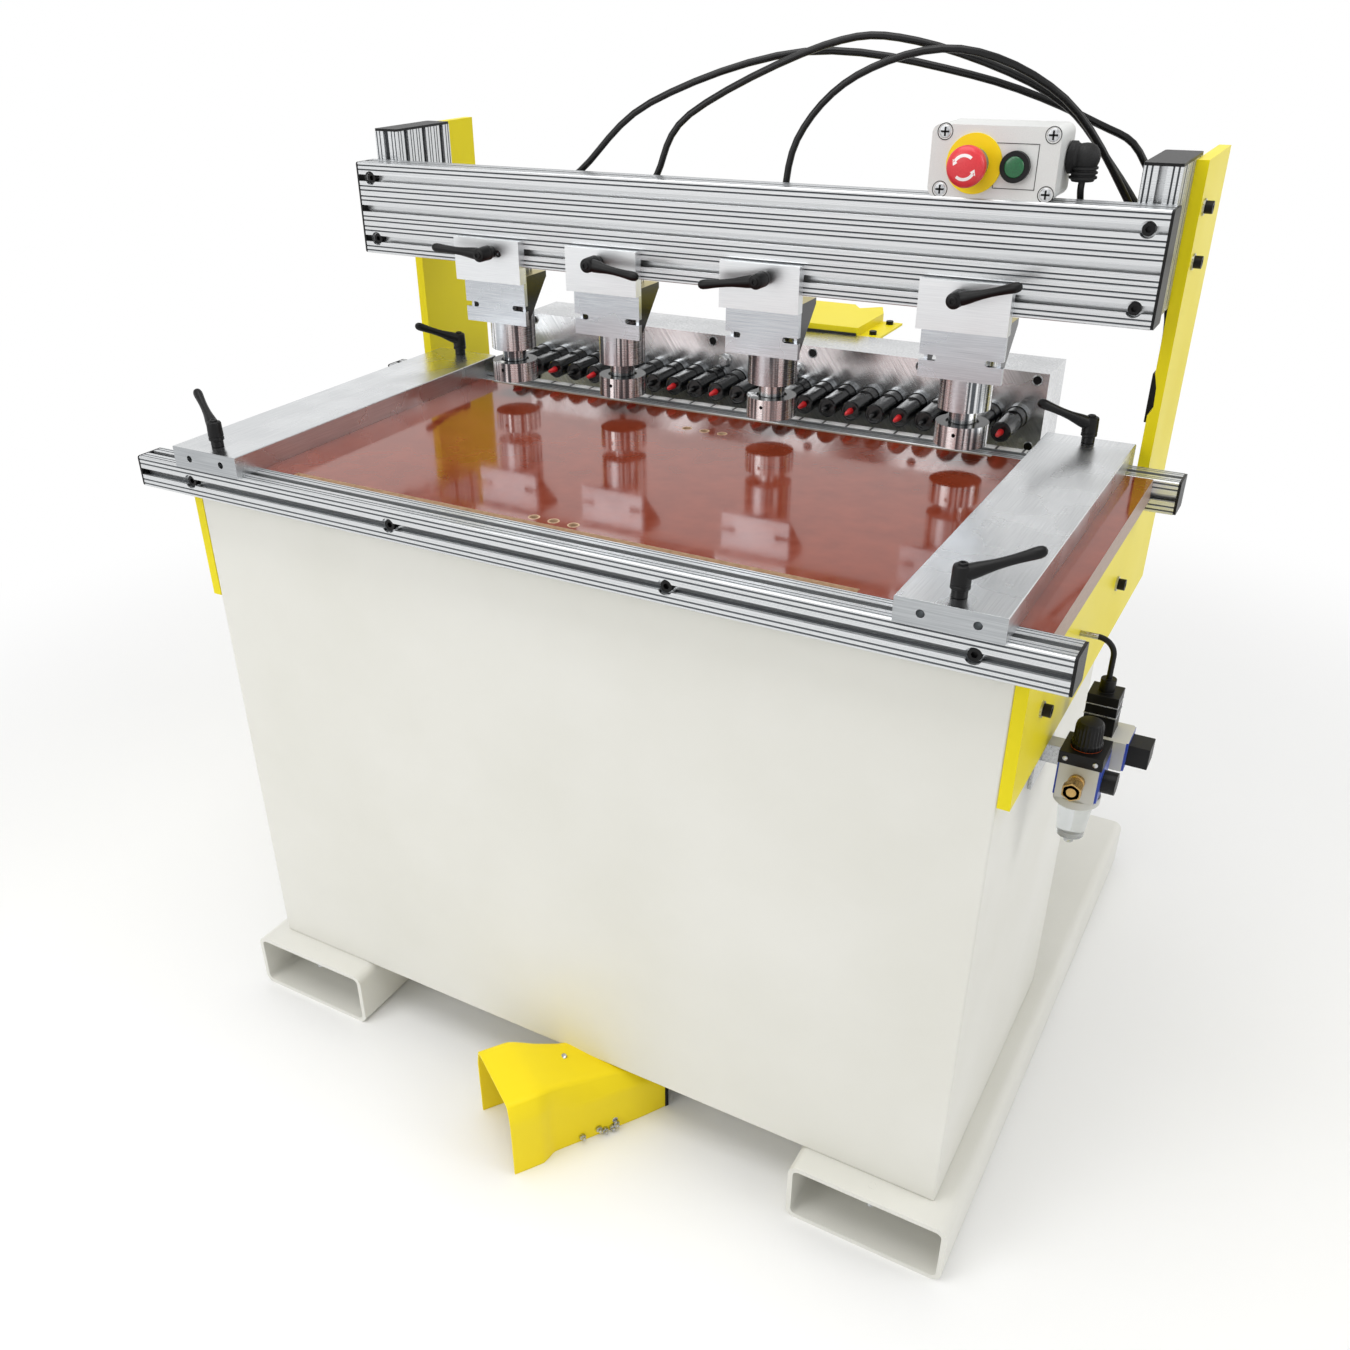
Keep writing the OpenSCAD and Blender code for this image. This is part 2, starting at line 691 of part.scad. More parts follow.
module slide_rails() {
  color(bright) {
    translate([-pedestal_x, slide_y, slide_z]) cube([2 * pedestal_x, slide_l, slide_plate_t]);
    for (s = [-1, 1]) translate([s * rail_x - rail_w / 2, rail_y, rail_z])
      cube([rail_w, rail_l, rail_h]);
    difference() {
      union() {
        bar_y(feed_x, feed_y, feed_z, feed_r, feed_l);
        for (y = [feed_y + 4, feed_y + feed_l - 19])
          translate([feed_x - feed_r, y, rail_z]) cube([2 * feed_r, 15, feed_z - rail_z]);
      }
      bar_y(feed_x, feed_y + 6, feed_z, feed_r - 3, feed_l - 12);
      bar_y(feed_x, feed_y - 1, feed_z, 5 + fit, 9);
    }
  }
}

module drive_motor() {
  flange = 2 * (head_top_z - 5 - spindle_z);
  color("#8c9298") difference() {
    union() {
      translate([-flange / 2, head_back_y, spindle_z - flange / 2]) cube([flange, 12, flange]);
      bar_y(0, head_back_y + 12, spindle_z, motor_r - 4, motor_l - 12);
      for (k = [0:17]) rotate_about(k * 20)
        translate([motor_r - 6, head_back_y + 14, -1]) cube([6, motor_l - 46, 2]);
      bar_y(0, head_back_y + motor_l - 32, spindle_z, motor_r, 32);
      translate([-motor_r - 24, head_back_y + 30, spindle_z - 25]) cube([34, 60, 50]);
    }
    bar_y(0, head_back_y - 1, spindle_z, journal_r + fit, 44);
  }
}

// Turns a piece about the motor's axis
module rotate_about(a) {
  translate([0, 0, spindle_z]) rotate([0, a, 0]) children();
}

module head_guard() {
  x0 = guard_x[0];
  x1 = guard_x[1];
  t = guard_t;
  low_z = head_top_z - 4;
  color(yellow) translate([0, head_back_y, 0]) {
    difference() {
      translate([x0, 0, low_z]) cube([x1 - x0, guard_d, guard_top_z - low_z]);
      translate([x0 + t, t, low_z - 1]) cube([x1 - x0 - 2 * t, guard_d, guard_top_z - low_z + 1 - t]);
      translate([0.6 * x1, guard_d - 20, low_z - 1]) linear_extrude(guard_top_z - low_z + 2)
        polygon([[0, 0], [26, 21], [-20, 28]]);
      translate([x1, guard_d, low_z - 1]) linear_extrude(guard_top_z - low_z + 2)
        polygon([[-15, 1], [1, -38], [1, 1]]);
    }
    // Screwed flange on the right, with its leg in front
    translate([x1 - t / 2, 2, low_z]) cube([flange_w, guard_screws[1] + 12, 3]);
    translate([x1 - t / 2, 0, head_top_z - 44]) cube([flange_w, 20, 43]);
  }
  color(black) for (y = guard_screws)
    translate([x1 + flange_w / 2, head_back_y + y, low_z + 3]) cylinder(h = 5, r = 5);
}

// One clamp without its moving foot and lever, at place i from the left
module clamp(i) {
  x = clamp_x[i];
  lx = x + lever_dx[i];
  color(bright) {
    difference() {
      union() {
        translate([x - upper_w / 2, clamp_beam_y - upper_t, upper_z])
          cube([upper_w, upper_t, clamp_plate_h]);
        translate([x - lower_w / 2, clamp_beam_y, lower_z])
          cube([lower_w, lower_t, clamp_beam_z - gap - lower_z]);
      }
      for (s = [-1, 1]) {
        bar_y(x + s * (lower_w / 2 - slot_in), clamp_beam_y - 1, slot_z, slot_h / 2, lower_t + 2);
        translate([x + s * (lower_w / 2 - slot_in / 2 + 1) - slot_in / 2 - 1, clamp_beam_y - 1,
          slot_z - slot_h / 2]) cube([slot_in + 2, lower_t + 2, slot_h]);
      }
      bar_y(lx, clamp_beam_y - upper_t - 1, nut_z, stud_r + fit, upper_t + 2);
      bar_y(x + screw_dx[i], clamp_beam_y - upper_t - 1, nut_z - 2, 4.5, 4);
    }
    // T-nut in the beam's lowest slot
    difference() {
      translate([lx - 14, clamp_beam_y + lip_t + gap, nut_z - chamber_w / 2 + gap])
        cube([28, 2.6, chamber_w - 2 * gap]);
      bar_y(lx, clamp_beam_y, nut_z, stud_r + fit, 12);
    }
    // Air cylinder with its saddle on the lower plate
    difference() {
      union() {
        translate([x, cylinder_y, cylinder_low_z])
          cylinder(h = cylinder_top_z - cylinder_low_z, r = cylinder_r);
        translate([x - 24, lower_back_y, lower_z + 2]) cube([48, 12, cylinder_top_z - lower_z - 2]);
        translate([x, port_y, cylinder_top_z - 1]) cylinder(h = port_z + 1 - cylinder_top_z, r = 6);
        translate([x - lower_w / 2 + 4, lower_back_y, shelf_z]) cube([lower_w - 8, shelf_d, shelf_t]);
        for (s = [-1, 1]) along_x(x + s * (lower_w / 2 - 4 - gusset_t / 2) - gusset_t / 2, gusset_t)
          polygon([[lower_back_y, lower_z + 6], [lower_back_y + 10, lower_z + 6],
            [lower_back_y + shelf_d, shelf_z + 1], [lower_back_y, shelf_z + 1]]);
      }
      translate([x, cylinder_y, cylinder_low_z + 12])
        cylinder(h = cylinder_top_z - cylinder_low_z - 20, r = cylinder_r - 4);
      translate([x, cylinder_y, cylinder_low_z - 1]) cylinder(h = 14, r = rod_r + fit);
    }
  }
}

module clamp_foot(i) {
  color(bright) translate([clamp_x[i], cylinder_y, 0]) {
    difference() {
      translate([0, 0, pad_z + pad_t]) cylinder(h = foot_h, r = foot_r);
      translate([0, 0, foot_top_z - 2]) cylinder(h = 3, r = rod_r + 3);
      translate([0, -foot_r - 1, pad_z + pad_t + 13]) rotate([-90, 0, 0]) cylinder(h = 10, r = 2.2);
    }
    translate([0, 0, foot_top_z - 3]) cylinder(h = cylinder_top_z - 24 - foot_top_z, r = rod_r);
    translate([0, 0, cylinder_top_z - 27]) cylinder(h = 10, r = cylinder_r - 4 - fit);
  }
  color(black) translate([clamp_x[i], cylinder_y, pad_z]) cylinder(h = pad_t, r = foot_r);
}

// Ratchet lever standing on z = 0, its stud below and its arm along +x, rising a little
module lever(stud_l, rise) {
  translate([0, 0, -stud_l]) cylinder(h = stud_l + 2, r = stud_r);
  cylinder(h = 8, r = hub_r - 1.5);
  translate([0, 0, 8]) cylinder(h = hub_h - 8, r1 = hub_r, r2 = hub_r - 1);
  translate([0, 0, hub_h - 1]) cylinder(h = 3, r = 4.5);
  translate([0, 0, hub_h - 9]) rotate([0, 90 - rise, 0]) {
    cylinder(h = arm_l - 4, r1 = 7.5, r2 = 5.5);
    translate([0, 0, arm_l - 4]) sphere(r = 5.5);
  }
}

module clamp_lever(i) {
  color(black) translate([clamp_x[i] + lever_dx[i], clamp_beam_y - upper_t, nut_z])
    rotate([0, -lever_angle[i], 0]) rotate([90, 0, 0]) lever(upper_t + lip_t + 3, 6);
}

// Slot nut in a table beam's top slot
module top_nut(x, y) {
  difference() {
    translate([x - 14, y - chamber_w / 2 + gap, table_z - lip_t - gap - 2.6])
      cube([28, chamber_w - 2 * gap, 2.6]);
    translate([x, y, table_z - 12]) cylinder(h = 12, r = stud_r + fit);
  }
}

module fence(x) {
  t = fence_t;
  w = fence_w / 2;
  color(bright) {
    difference() {
      along_y(-fence_over, fence_rear_y + fence_over) translate([x, table_z])
        polygon([[-w, 0], [w, 0], [w, t - 0.8], [w - 0.8, t], [0.8 - w, t], [-w, t - 0.8]]);
      for (y = [front_slot_y, rear_slot_y]) translate([x, y, table_z - 1])
        cylinder(h = t + 2, r = stud_r + fit);
      for (s = [-1, 1])
        bar_y(x + s * tap_pitch / 2, -fence_over - 1, table_z + t / 2, tap_r, tap_l + 1);
    }
    for (y = [front_slot_y, rear_slot_y]) top_nut(x, y);
  }
}

module fence_lever(k) {
  color(black) translate([fence_lever_x[k], fence_lever_y[k], table_z + fence_t])
    rotate([0, 0, fence_lever_turn[k]]) lever(fence_t + lip_t + 3, 24);
}

module control_box() {
  body_r = 9;
  color("#d9d9d6") difference() {
    union() {
      along_y(box_y, 20) translate([box_x + box_w / 2, clamp_beam_top_z]) round_rect(box_w, box_h, body_r);
      along_y(box_y + 20, box_d - 20) translate([box_x + box_w / 2, clamp_beam_top_z])
        round_rect(box_w - 3, box_h, body_r);
    }
    bar_y(estop_x, box_y - 1, estop_z, stem_r + fit, stem_l + estop_travel + 3);
    bar_y(start_x, box_y - 1, start_z, start_stem_r + fit, stem_l + start_travel + 3);
    for (x = [box_x + 13.5, box_x + box_w - 8.5], z = [clamp_beam_top_z + 7, clamp_beam_top_z + box_h - 7])
      bar_y(x, box_y - 1, z, 4, 3);
  }
  color(yellow) difference() {
    bar_y(estop_x, box_y - 1.6, estop_z, 29, 1.6);
    bar_y(estop_x, box_y - 3, estop_z, stem_r + fit, 4);
  }
  color(black) {
    difference() {
      bar_y(start_x, box_y - 6, start_z, 15, 6);
      bar_y(start_x, box_y - 7, start_z, start_r + gap, 8);
    }
    // Cable gland and elbow on the box's right side
    translate([box_x + box_w - 1.5, elbow_y, elbow_z]) rotate([0, 90, 0]) {
      cylinder(h = 9, r = 13, $fn = 6);
      cylinder(h = 20, r = 10);
    }
    translate([elbow_x, elbow_y, elbow_z]) {
      sphere(r = 12.5);
      translate([0, 0, -20]) cylinder(h = 20, r = 9);
    }
  }
}

module estop_button() {
  color(red) {
    bar_y(estop_x, box_y - mushroom_out, estop_z, stem_r, mushroom_out + stem_l);
    translate([estop_x, box_y - mushroom_out, estop_z]) rotate([90, 0, 0])
      rotate_extrude() polygon([[0, 0], [15, 0], [mushroom_r - 1.5, 6], [mushroom_r, 10],
        [mushroom_r, 16], [mushroom_r - 2.5, 19.5], [mushroom_r - 7, 21.5], [0, 22.5]]);
  }
}

module start_button() {
  color("#11703c") {
    bar_y(start_x, box_y - start_travel - 4.5, start_z, start_r, 4);
    bar_y(start_x, box_y - start_travel - 1, start_z, start_stem_r, start_travel + 1 + stem_l);
  }
}

module air_unit() {
  w = unit_w;
  x = unit_x;
  y = unit_y;
  color("#c9ccce") {
    difference() {
      translate([x - w / 2, y - w / 2, unit_z]) cube([w, w, unit_body_h]);
      bar_y(x, y - w / 2 - 1, unit_z + 24, 6, 13);
    }
    translate([x - w / 2, y + w / 2, unit_z + 8]) cube([w, 24, 26]);
    translate([valve_x - w / 2, valve_y - 20, unit_z + 8]) cube([w, 44, 34]);
    translate([x, y, unit_z - 52]) cylinder(h = 52, r1 = 14, r2 = 19);
    translate([x, y, unit_z - 62]) cylinder(h = 10, r = 5);
  }
  color("#2440b0") {
    for (s = [0, 1]) translate([x - w / 2 - 2 + s * (w + 2), y - w / 2 + 2, unit_z + 2])
      cube([2, w - 4, unit_body_h - 4]);
    translate([valve_x + w / 2, valve_y - 18, unit_z + 8]) cube([2, 40, 34]);
  }
  color("#b08d4a") difference() {
    union() {
      bar_y(x, y - w / 2 - 24, unit_z + 24, 9, 14);
      bar_y(x, y - w / 2 - 10, unit_z + 24, 6, 20);
    }
    bar_y(x, y - w / 2 - 25, unit_z + 24, 4.5, 13);
  }
  color(black) {
    difference() {
      translate([x - 22, y - 22, unit_top_z]) cube([44, 44, unit_collar_h]);
      translate([x, y, unit_top_z - 1]) cylinder(h = unit_collar_h + 2, r = 9 + fit);
    }
    translate([x + w / 2 + 2, y, unit_z + 20]) rotate([0, 90, 0]) cylinder(h = 14, r = 12);
    translate([valve_x + w / 2 + 2, valve_y - 14, unit_z + 14]) cube([valve_reach - 2, 28, 24]);
    translate([valve_x - 28, valve_y - 14, unit_z + 42]) cube([32, 30, 46]);
    translate([valve_x - 12, valve_y + 1, unit_z + coil_top - 14]) cylinder(h = 14, r = 8);
  }
  // Cable from the valve's connector over into the side plate
  color(black) {
    translate([valve_x - 12, valve_y + 1, unit_z + coil_top]) cylinder(h = 26, r = 3);
    translate([valve_x - 12 - cable_bend, valve_y + 1, unit_z + coil_top + 26]) rotate([90, 0, 0])
      rotate_extrude(angle = 90) translate([cable_bend, 0]) circle(3, $fn = 16);
    translate([plate_x + plate_t, valve_y + 1, unit_z + coil_top + 26 + cable_bend])
      rotate([0, 90, 0]) cylinder(h = valve_x - 12 - cable_bend - plate_x - plate_t, r = 3);
  }
  // Angle bracket from the cabinet's side
  color("#9a9c9c") {
    translate([plate_x, y - 8, unit_z - 8]) cube([4, 84, arm_z - unit_z + 8 - gap]);
    translate([plate_x, y + 22, unit_z + 12]) cube([x - w / 2 - plate_x - 2, 20, 22]);
    translate([x - w / 2 - 2, y + 22, unit_z + 12]) cube([2, 20, 22]);
  }
}

module regulator_knob() {
  color(black) translate([unit_x, unit_y, unit_top_z]) {
    translate([0, 0, 2]) cylinder(h = unit_collar_h, r = 9);
    translate([0, 0, unit_collar_h + gap]) cylinder(h = 6, r = 16);
    translate([0, 0, unit_collar_h + 6]) cylinder(h = unit_knob_h - 6, r1 = knob_r + 1, r2 = knob_r);
  }
}

function unit(v) = v / norm(v);

// Tube along a route, with flat level ends where it starts and stops upright or hanging
module tube(route, r) {
  m = len(route) - 1;
  n = hose_sides;
  dir = [for (k = [0:m]) k == 0 ? [0, 0, sign(route[1][2] - route[0][2])]
    : k == m ? [0, 0, sign(route[m][2] - route[m - 1][2])]
    : unit(route[k + 1] - route[k - 1])];
  pts = [for (k = [0:m], a = [0:n - 1])
    let (s = unit(cross(dir[k], [0, 1, 0])), u = cross(s, dir[k]), q = a * 360 / n)
    route[k] + r * (cos(q) * s + sin(q) * u)];
  walls = [for (k = [0:m - 1], a = [0:n - 1]) let (b = (a + 1) % n)
    each [[k * n + a, k * n + b, k * n + n + b], [k * n + a, k * n + n + b, k * n + n + a]]];
  ends = [for (a = [1:n - 2]) each [[0, a + 1, a], [m * n, m * n + a, m * n + a + 1]]];
  polyhedron(pts, concat(walls, ends));
}

// Point between b and c on a smooth curve that passes a, b, c and d
function bend(a, b, c, d, t) = 0.5 * (2 * b + (c - a) * t + (2 * a - 5 * b + 4 * c - d) * t * t
  + (3 * b - a - 3 * c + d) * t * t * t);

// Smooth route through points, with n steps between two of them
function smooth(p, n) = let (m = len(p) - 1) [
  for (k = [0:m - 1], j = [0:n - 1]) bend(p[max(k - 1, 0)], p[k], p[k + 1], p[min(k + 2, m)], j / n),
  p[m]];

// Route from a start through bends given from that start, down to the manifold's port k
function route_down(start, bends, k) = let (y = manifold_y + manifold_l - 8 - 14 * k)
  smooth(concat([start], [for (b = bends) start + b],
    [[manifold_x - hose_r, y, manifold_z + 70], [manifold_x, y, manifold_z]]), 3);

module air_hoses() {
  color(black) {
    for (i = [0:3]) tube(route_down([clamp_x[i], port_y, port_z], hose_bends[i], i + 1), hose_r);
    tube(route_down([elbow_x, elbow_y, elbow_z - 20], cable_bends, 0), cable_r);
  }
}

module pedal_place() {
  translate([pedal_x, pedal_y, 0]) rotate([0, 0, pedal_turn]) children();
}

// Section of the pedal hood across its width, at one place along it: width, top width, height
function hood_ring(u, w, tw, h, shoulder) = [[u, -w / 2, 0], [u, -w / 2, shoulder], [u, -tw / 2, h],
  [u, tw / 2, h], [u, w / 2, shoulder], [u, w / 2, 0]];

// Solid lofted through six-point rings
module loft(rings) {
  n = 6;
  m = len(rings) - 1;
  pts = [for (r = rings) each r];
  walls = [for (k = [0:m - 1], a = [0:n - 1]) let (b = (a + 1) % n)
    each [[k * n + a, k * n + n + b, k * n + n + a], [k * n + a, k * n + b, k * n + n + b]]];
  ends = [for (a = [1:n - 2]) each [[0, a + 1, a], [m * n, m * n + a, m * n + a + 1]]];
  polyhedron(pts, concat(walls, ends));
}

// Shares of the hood's width, top width, height and shoulder height at places along it
function hood_shares(grow, low) = [[-low, 1, 0.87, 1, 0.76], [0.18 * pedal_l, 1, 0.87, 1, 0.76],
  [0.25 * pedal_l, 0.81, 0.72, 0.97, 0.68], [0.465 * pedal_l, 0.81, 0.58, 0.71, 0.56],
  [pedal_l - 40 + low / 4, 0.79, 0.56, 0.69, 0.54],
  [pedal_l - grow + low / 100, 0.74, 0.52, 0.5, 0.38]];

module hood(grow, low) {
  loft([for (s = hood_shares(grow, low)) hood_ring(s[0], pedal_w * s[1] - 2 * grow,
    pedal_w * s[2] - grow, pedal_h * s[3] - grow, pedal_h * s[4])]);
}

module pedal_guard() {
  color("#f2c418") pedal_place() {
    difference() {
      hood(0, 0);
      translate([0, 0, -0.01]) hood(pedal_wall, 2);
      translate([treadle_pin_u, pedal_w / 2 + 1, treadle_pin_z]) rotate([90, 0, 0])
        cylinder(h = pedal_w + 2, r = treadle_pin_r);
    }
    // Hose entry from the guard up into the cabinet's floor
    translate([pedal_l - 47, 0, 0.5 * pedal_h]) cylinder(h = skid_h - 0.5 * pedal_h, r = 8);
    // Base plate between the guard's sides
    intersection() {
      hood(pedal_wall + gap, 0);
      translate([0, -pedal_w / 2, 0]) cube([pedal_l, pedal_w, 3]);
    }
  }
}

module pedal_treadle() {
  color(black) pedal_place() {
    translate([treadle_pin_u, treadle_pin_l / 2, treadle_pin_z]) rotate([90, 0, 0])
      cylinder(h = treadle_pin_l, r = treadle_pin_r - fit);
    translate([treadle_pin_u, 0, treadle_pin_z]) rotate([0, 6, 0])
      translate([10 - treadle_l, -treadle_w / 2, 2]) cube([treadle_l, treadle_w, treadle_t]);
  }
}

// Manifold block on the right side plate's inner face
module manifold() {
  color(black) translate([plate_x - manifold_w, manifold_y, manifold_z - manifold_h])
    cube([manifold_w, manifold_l, manifold_h]);
}

module placed() {
  translate(origin_shift) children();
}

placed() skids();
placed() cabinet();
placed() side_plates();
placed() table_beams();
placed() clamp_frame();
placed() table_top();
placed() caps_and_screws();
placed() control_box();
placed() { air_unit(); manifold(); }
placed() air_hoses();
placed() pedal_guard();
placed() slide_rails();
placed() boring_head();
placed() drive_motor();
placed() head_guard();
placed() spindle(1);  // spindle_01
placed() spindle(2);  // spindle_02
placed() spindle(3);  // spindle_03
placed() spindle(4);  // spindle_04
placed() spindle(5);  // spindle_05
placed() spindle(6);  // spindle_06
placed() spindle(7);  // spindle_07
placed() spindle(8);  // spindle_08
placed() spindle(9);  // spindle_09
placed() spindle(10);  // spindle_10
placed() spindle(11);  // spindle_11
placed() spindle(12);  // spindle_12
placed() spindle(13);  // spindle_13
placed() spindle(14);  // spindle_14
placed() spindle(15);  // spindle_15
placed() spindle(16);  // spindle_16
placed() spindle(17);  // spindle_17
placed() spindle(18);  // spindle_18
placed() spindle(19);  // spindle_19
placed() spindle(20);  // spindle_20
placed() spindle(21);  // spindle_21
placed() spindle(22);  // spindle_22
placed() spindle(23);  // spindle_23
placed() clamp(0);  // clamp_1
placed() clamp(1);  // clamp_2
placed() clamp(2);  // clamp_3
placed() clamp(3);  // clamp_4
placed() clamp_foot(0);  // clamp_foot_1
placed() clamp_foot(1);  // clamp_foot_2
placed() clamp_foot(2);  // clamp_foot_3
placed() clamp_foot(3);  // clamp_foot_4
placed() clamp_lever(0);  // clamp_lever_1
placed() clamp_lever(1);  // clamp_lever_2
placed() clamp_lever(2);  // clamp_lever_3
placed() clamp_lever(3);  // clamp_lever_4
placed() fence(fence_left_x);  // fence_left
placed() fence(fence_right_x);  // fence_right
placed() fence_lever(0);  // fence_lever_1
placed() fence_lever(1);  // fence_lever_2
placed() fence_lever(2);  // fence_lever_3
placed() fence_lever(3);  // fence_lever_4
placed() estop_button();
placed() start_button();
placed() regulator_knob();
placed() pedal_treadle();
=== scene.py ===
import json
import bmesh
import bpy
import numpy as np
from mathutils import Matrix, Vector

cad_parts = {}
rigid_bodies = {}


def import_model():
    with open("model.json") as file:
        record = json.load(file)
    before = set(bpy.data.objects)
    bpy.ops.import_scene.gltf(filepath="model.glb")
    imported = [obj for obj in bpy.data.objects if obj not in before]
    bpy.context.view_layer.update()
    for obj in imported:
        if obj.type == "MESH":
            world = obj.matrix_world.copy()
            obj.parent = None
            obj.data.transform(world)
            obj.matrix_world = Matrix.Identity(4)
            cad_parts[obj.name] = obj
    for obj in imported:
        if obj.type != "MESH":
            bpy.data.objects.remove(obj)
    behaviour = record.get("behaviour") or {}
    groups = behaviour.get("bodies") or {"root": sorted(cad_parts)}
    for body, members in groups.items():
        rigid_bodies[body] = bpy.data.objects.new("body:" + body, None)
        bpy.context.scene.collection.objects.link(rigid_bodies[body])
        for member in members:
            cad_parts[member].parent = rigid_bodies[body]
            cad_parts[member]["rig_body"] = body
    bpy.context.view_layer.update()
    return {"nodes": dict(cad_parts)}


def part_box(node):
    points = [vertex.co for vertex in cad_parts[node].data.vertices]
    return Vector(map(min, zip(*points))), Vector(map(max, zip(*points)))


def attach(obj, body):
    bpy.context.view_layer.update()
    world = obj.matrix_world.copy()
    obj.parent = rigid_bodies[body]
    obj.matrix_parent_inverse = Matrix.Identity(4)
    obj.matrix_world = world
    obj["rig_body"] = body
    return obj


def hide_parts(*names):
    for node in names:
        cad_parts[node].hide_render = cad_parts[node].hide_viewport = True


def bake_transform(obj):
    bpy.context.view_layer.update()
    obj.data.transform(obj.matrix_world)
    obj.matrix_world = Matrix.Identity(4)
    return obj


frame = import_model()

# Camera: it stands where the photograph was taken, above the machine's front right corner,
# and looks down on the table. Its shift brings back the part that was cropped off the picture.
MM = 0.001
beams_low, beams_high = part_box("table_beams")
middle = np.array([(beams_low.x + beams_high.x) / 2, beams_low.y, 0.0])


def at(places):
    """Millimetres from the middle of the front beam's face, on the floor, to metres in the frame."""
    return middle + MM * np.asarray(places, float)


yaw, pitch, roll = np.radians([-30.84, -30.68, -1.183])
CAMERA_PLACE = [720.0, -982.4, 1333.6]
ahead = np.array([np.sin(yaw) * np.cos(pitch), np.cos(yaw) * np.cos(pitch), np.sin(pitch)])
level = np.array([np.cos(yaw), -np.sin(yaw), 0.0])
upright = np.cross(level, ahead)
stand = np.eye(4)
stand[:3, :3] = np.column_stack([np.cos(roll) * level + np.sin(roll) * upright,
                                 np.cos(roll) * upright - np.sin(roll) * level, -ahead])
stand[:3, 3] = at(CAMERA_PLACE)
camera = bpy.data.objects.new("camera", bpy.data.cameras.new("camera"))
camera.data.lens = 33.43
camera.data.shift_x = 0.03194
camera.data.shift_y = 0.03752
camera.data.clip_end = 60.0
camera.matrix_world = Matrix(stand.tolist())
bpy.context.scene.collection.objects.link(camera)
bpy.context.scene.camera = camera

# Air hoses and control cable: four black polyurethane tubes rise from the clamps' cylinders,
# arch over the clamp beam and drop with the box's cable to the manifold on the right plate.
# Each hose is pushed into its fitting at both ends; here the hoses stand still and ride on no body.
HOSE_R, CABLE_R = 4.0, 3.5
MANIFOLD_X, MANIFOLD_Y, MANIFOLD_Z = 506.0, 650.0, 930.0
PORT_STEP, LAST_DROP = 14.0, 70.0
CLAMP_X = [-304.0, -132.0, 83.0, 324.7]
FITTING_Y, FITTING_Z = 456.1, 1034.4
ELBOW = np.array([416.0, 450.0, 1171.7])
ELBOW_DROP = 20.0
hose_bends = [
    [[2, 1, 18], [34, 2, 51], [106, 2, 97], [203, 10, 175], [384, 44, 228], [565, 84, 205],
     [693, 144, 156], [752, 154, 114]],
    [[1, 1, 20], [20, 2, 56], [44, 2, 98], [85, 8, 164], [242, 26, 235], [342, 44, 239],
     [480, 89, 188], [546, 134, 116], [616, 139, 26]],
    [[0, 1, 14], [-3, 2, 56], [10, 4, 142], [73, 14, 207], [179, 34, 232], [285, 76, 184],
     [360, 122, 78]],
    [[3, 4, 16], [25, 29, 42], [70, 64, 56], [115, 96, 49], [153, 108, 18]]]
cable_bends = [[0, 1, -16], [4, 20, -52], [19, 60, -86], [39, 110, -108], [56, 180, -116]]


def route_down(start, bends, port, steps=6):
    """From a start through bends given from that start to a port of the manifold, on a cubic
    whose slope at each point is half the chord between its neighbours."""
    start = np.asarray(start, float)
    y = MANIFOLD_Y - PORT_STEP * port
    p = np.vstack([start, start + bends, [[MANIFOLD_X - HOSE_R, y, MANIFOLD_Z + LAST_DROP]],
                   [[MANIFOLD_X, y, MANIFOLD_Z]]])
    p = np.vstack([p[0], p, p[-1]])
    a, b, c, d = (p[k:len(p) - 3 + k, None] for k in range(4))
    t = np.arange(steps)[None, :, None] / steps
    curve = 0.5 * (2 * b + (c - a) * t + (2 * a - 5 * b + 4 * c - d) * t ** 2
                   + (3 * b - 3 * c + d - a) * t ** 3)
    return np.vstack([curve.reshape(-1, 3), p[-1]])


def grid_faces(rows, columns):
    """Quads between neighbouring rows of a grid, whose last column meets its first."""
    j = np.arange(columns)
    corner = np.arange(rows - 1)[:, None] * columns
    near, far = corner + j, corner + (j + 1) % columns
    return np.stack([near, near + columns, far + columns, far], -1).reshape(-1, 4).tolist()


def closed_ends(rows, columns):
    """One flat face on the first row of a grid and one on the last."""
    return [list(range(columns)), list(range((rows - 1) * columns, rows * columns))]


def tube(path, radius, sides=12, beside=(0, 1, 0), section=None):
    """Circles carried along a path, each square to it, with a flat end on the first and last.
    A section of unit points, one row per side, takes the circle's place."""
    path = np.asarray(path, float)
    along = np.gradient(path, axis=0)
    along /= np.linalg.norm(along, axis=1, keepdims=True)
    across = np.cross(along, beside)
    across /= np.linalg.norm(across, axis=1, keepdims=True)
    over = np.cross(across, along)
    if section is None:
        turn = np.linspace(0, 2 * np.pi, sides, endpoint=False)
        section = np.stack([np.cos(turn), np.sin(turn)], -1)
    section = np.asarray(section, float)
    size = np.broadcast_to(np.asarray(radius, float), len(path))[:, None, None]
    rings = path[:, None] + size * (section[:, :1] * across[:, None] + section[:, 1:] * over[:, None])
    count = len(section)
    return rings.reshape(-1, 3), grid_faces(len(path), count) + closed_ends(len(path), count)


def add_node(tree, kind, settings, sockets):
    """Adds one node with its settings; a socket takes a value, or another node's output."""
    made = tree.nodes.new(kind)
    for name, value in settings.items():
        setattr(made, name, value)
    for name, value in sockets.items():
        if isinstance(value, bpy.types.NodeSocket):
            tree.links.new(value, made.inputs[name])
        else:
            made.inputs[name].default_value = value
    return made


def linear(colour):
    """An sRGB hex colour as linear red, green, blue and alpha."""
    srgb = np.array([int(colour[k:k + 2], 16) for k in (1, 3, 5)]) / 255
    light = np.where(srgb <= 0.04045, srgb / 12.92, ((srgb + 0.055) / 1.055) ** 2.4)
    return (*light.tolist(), 1.0)


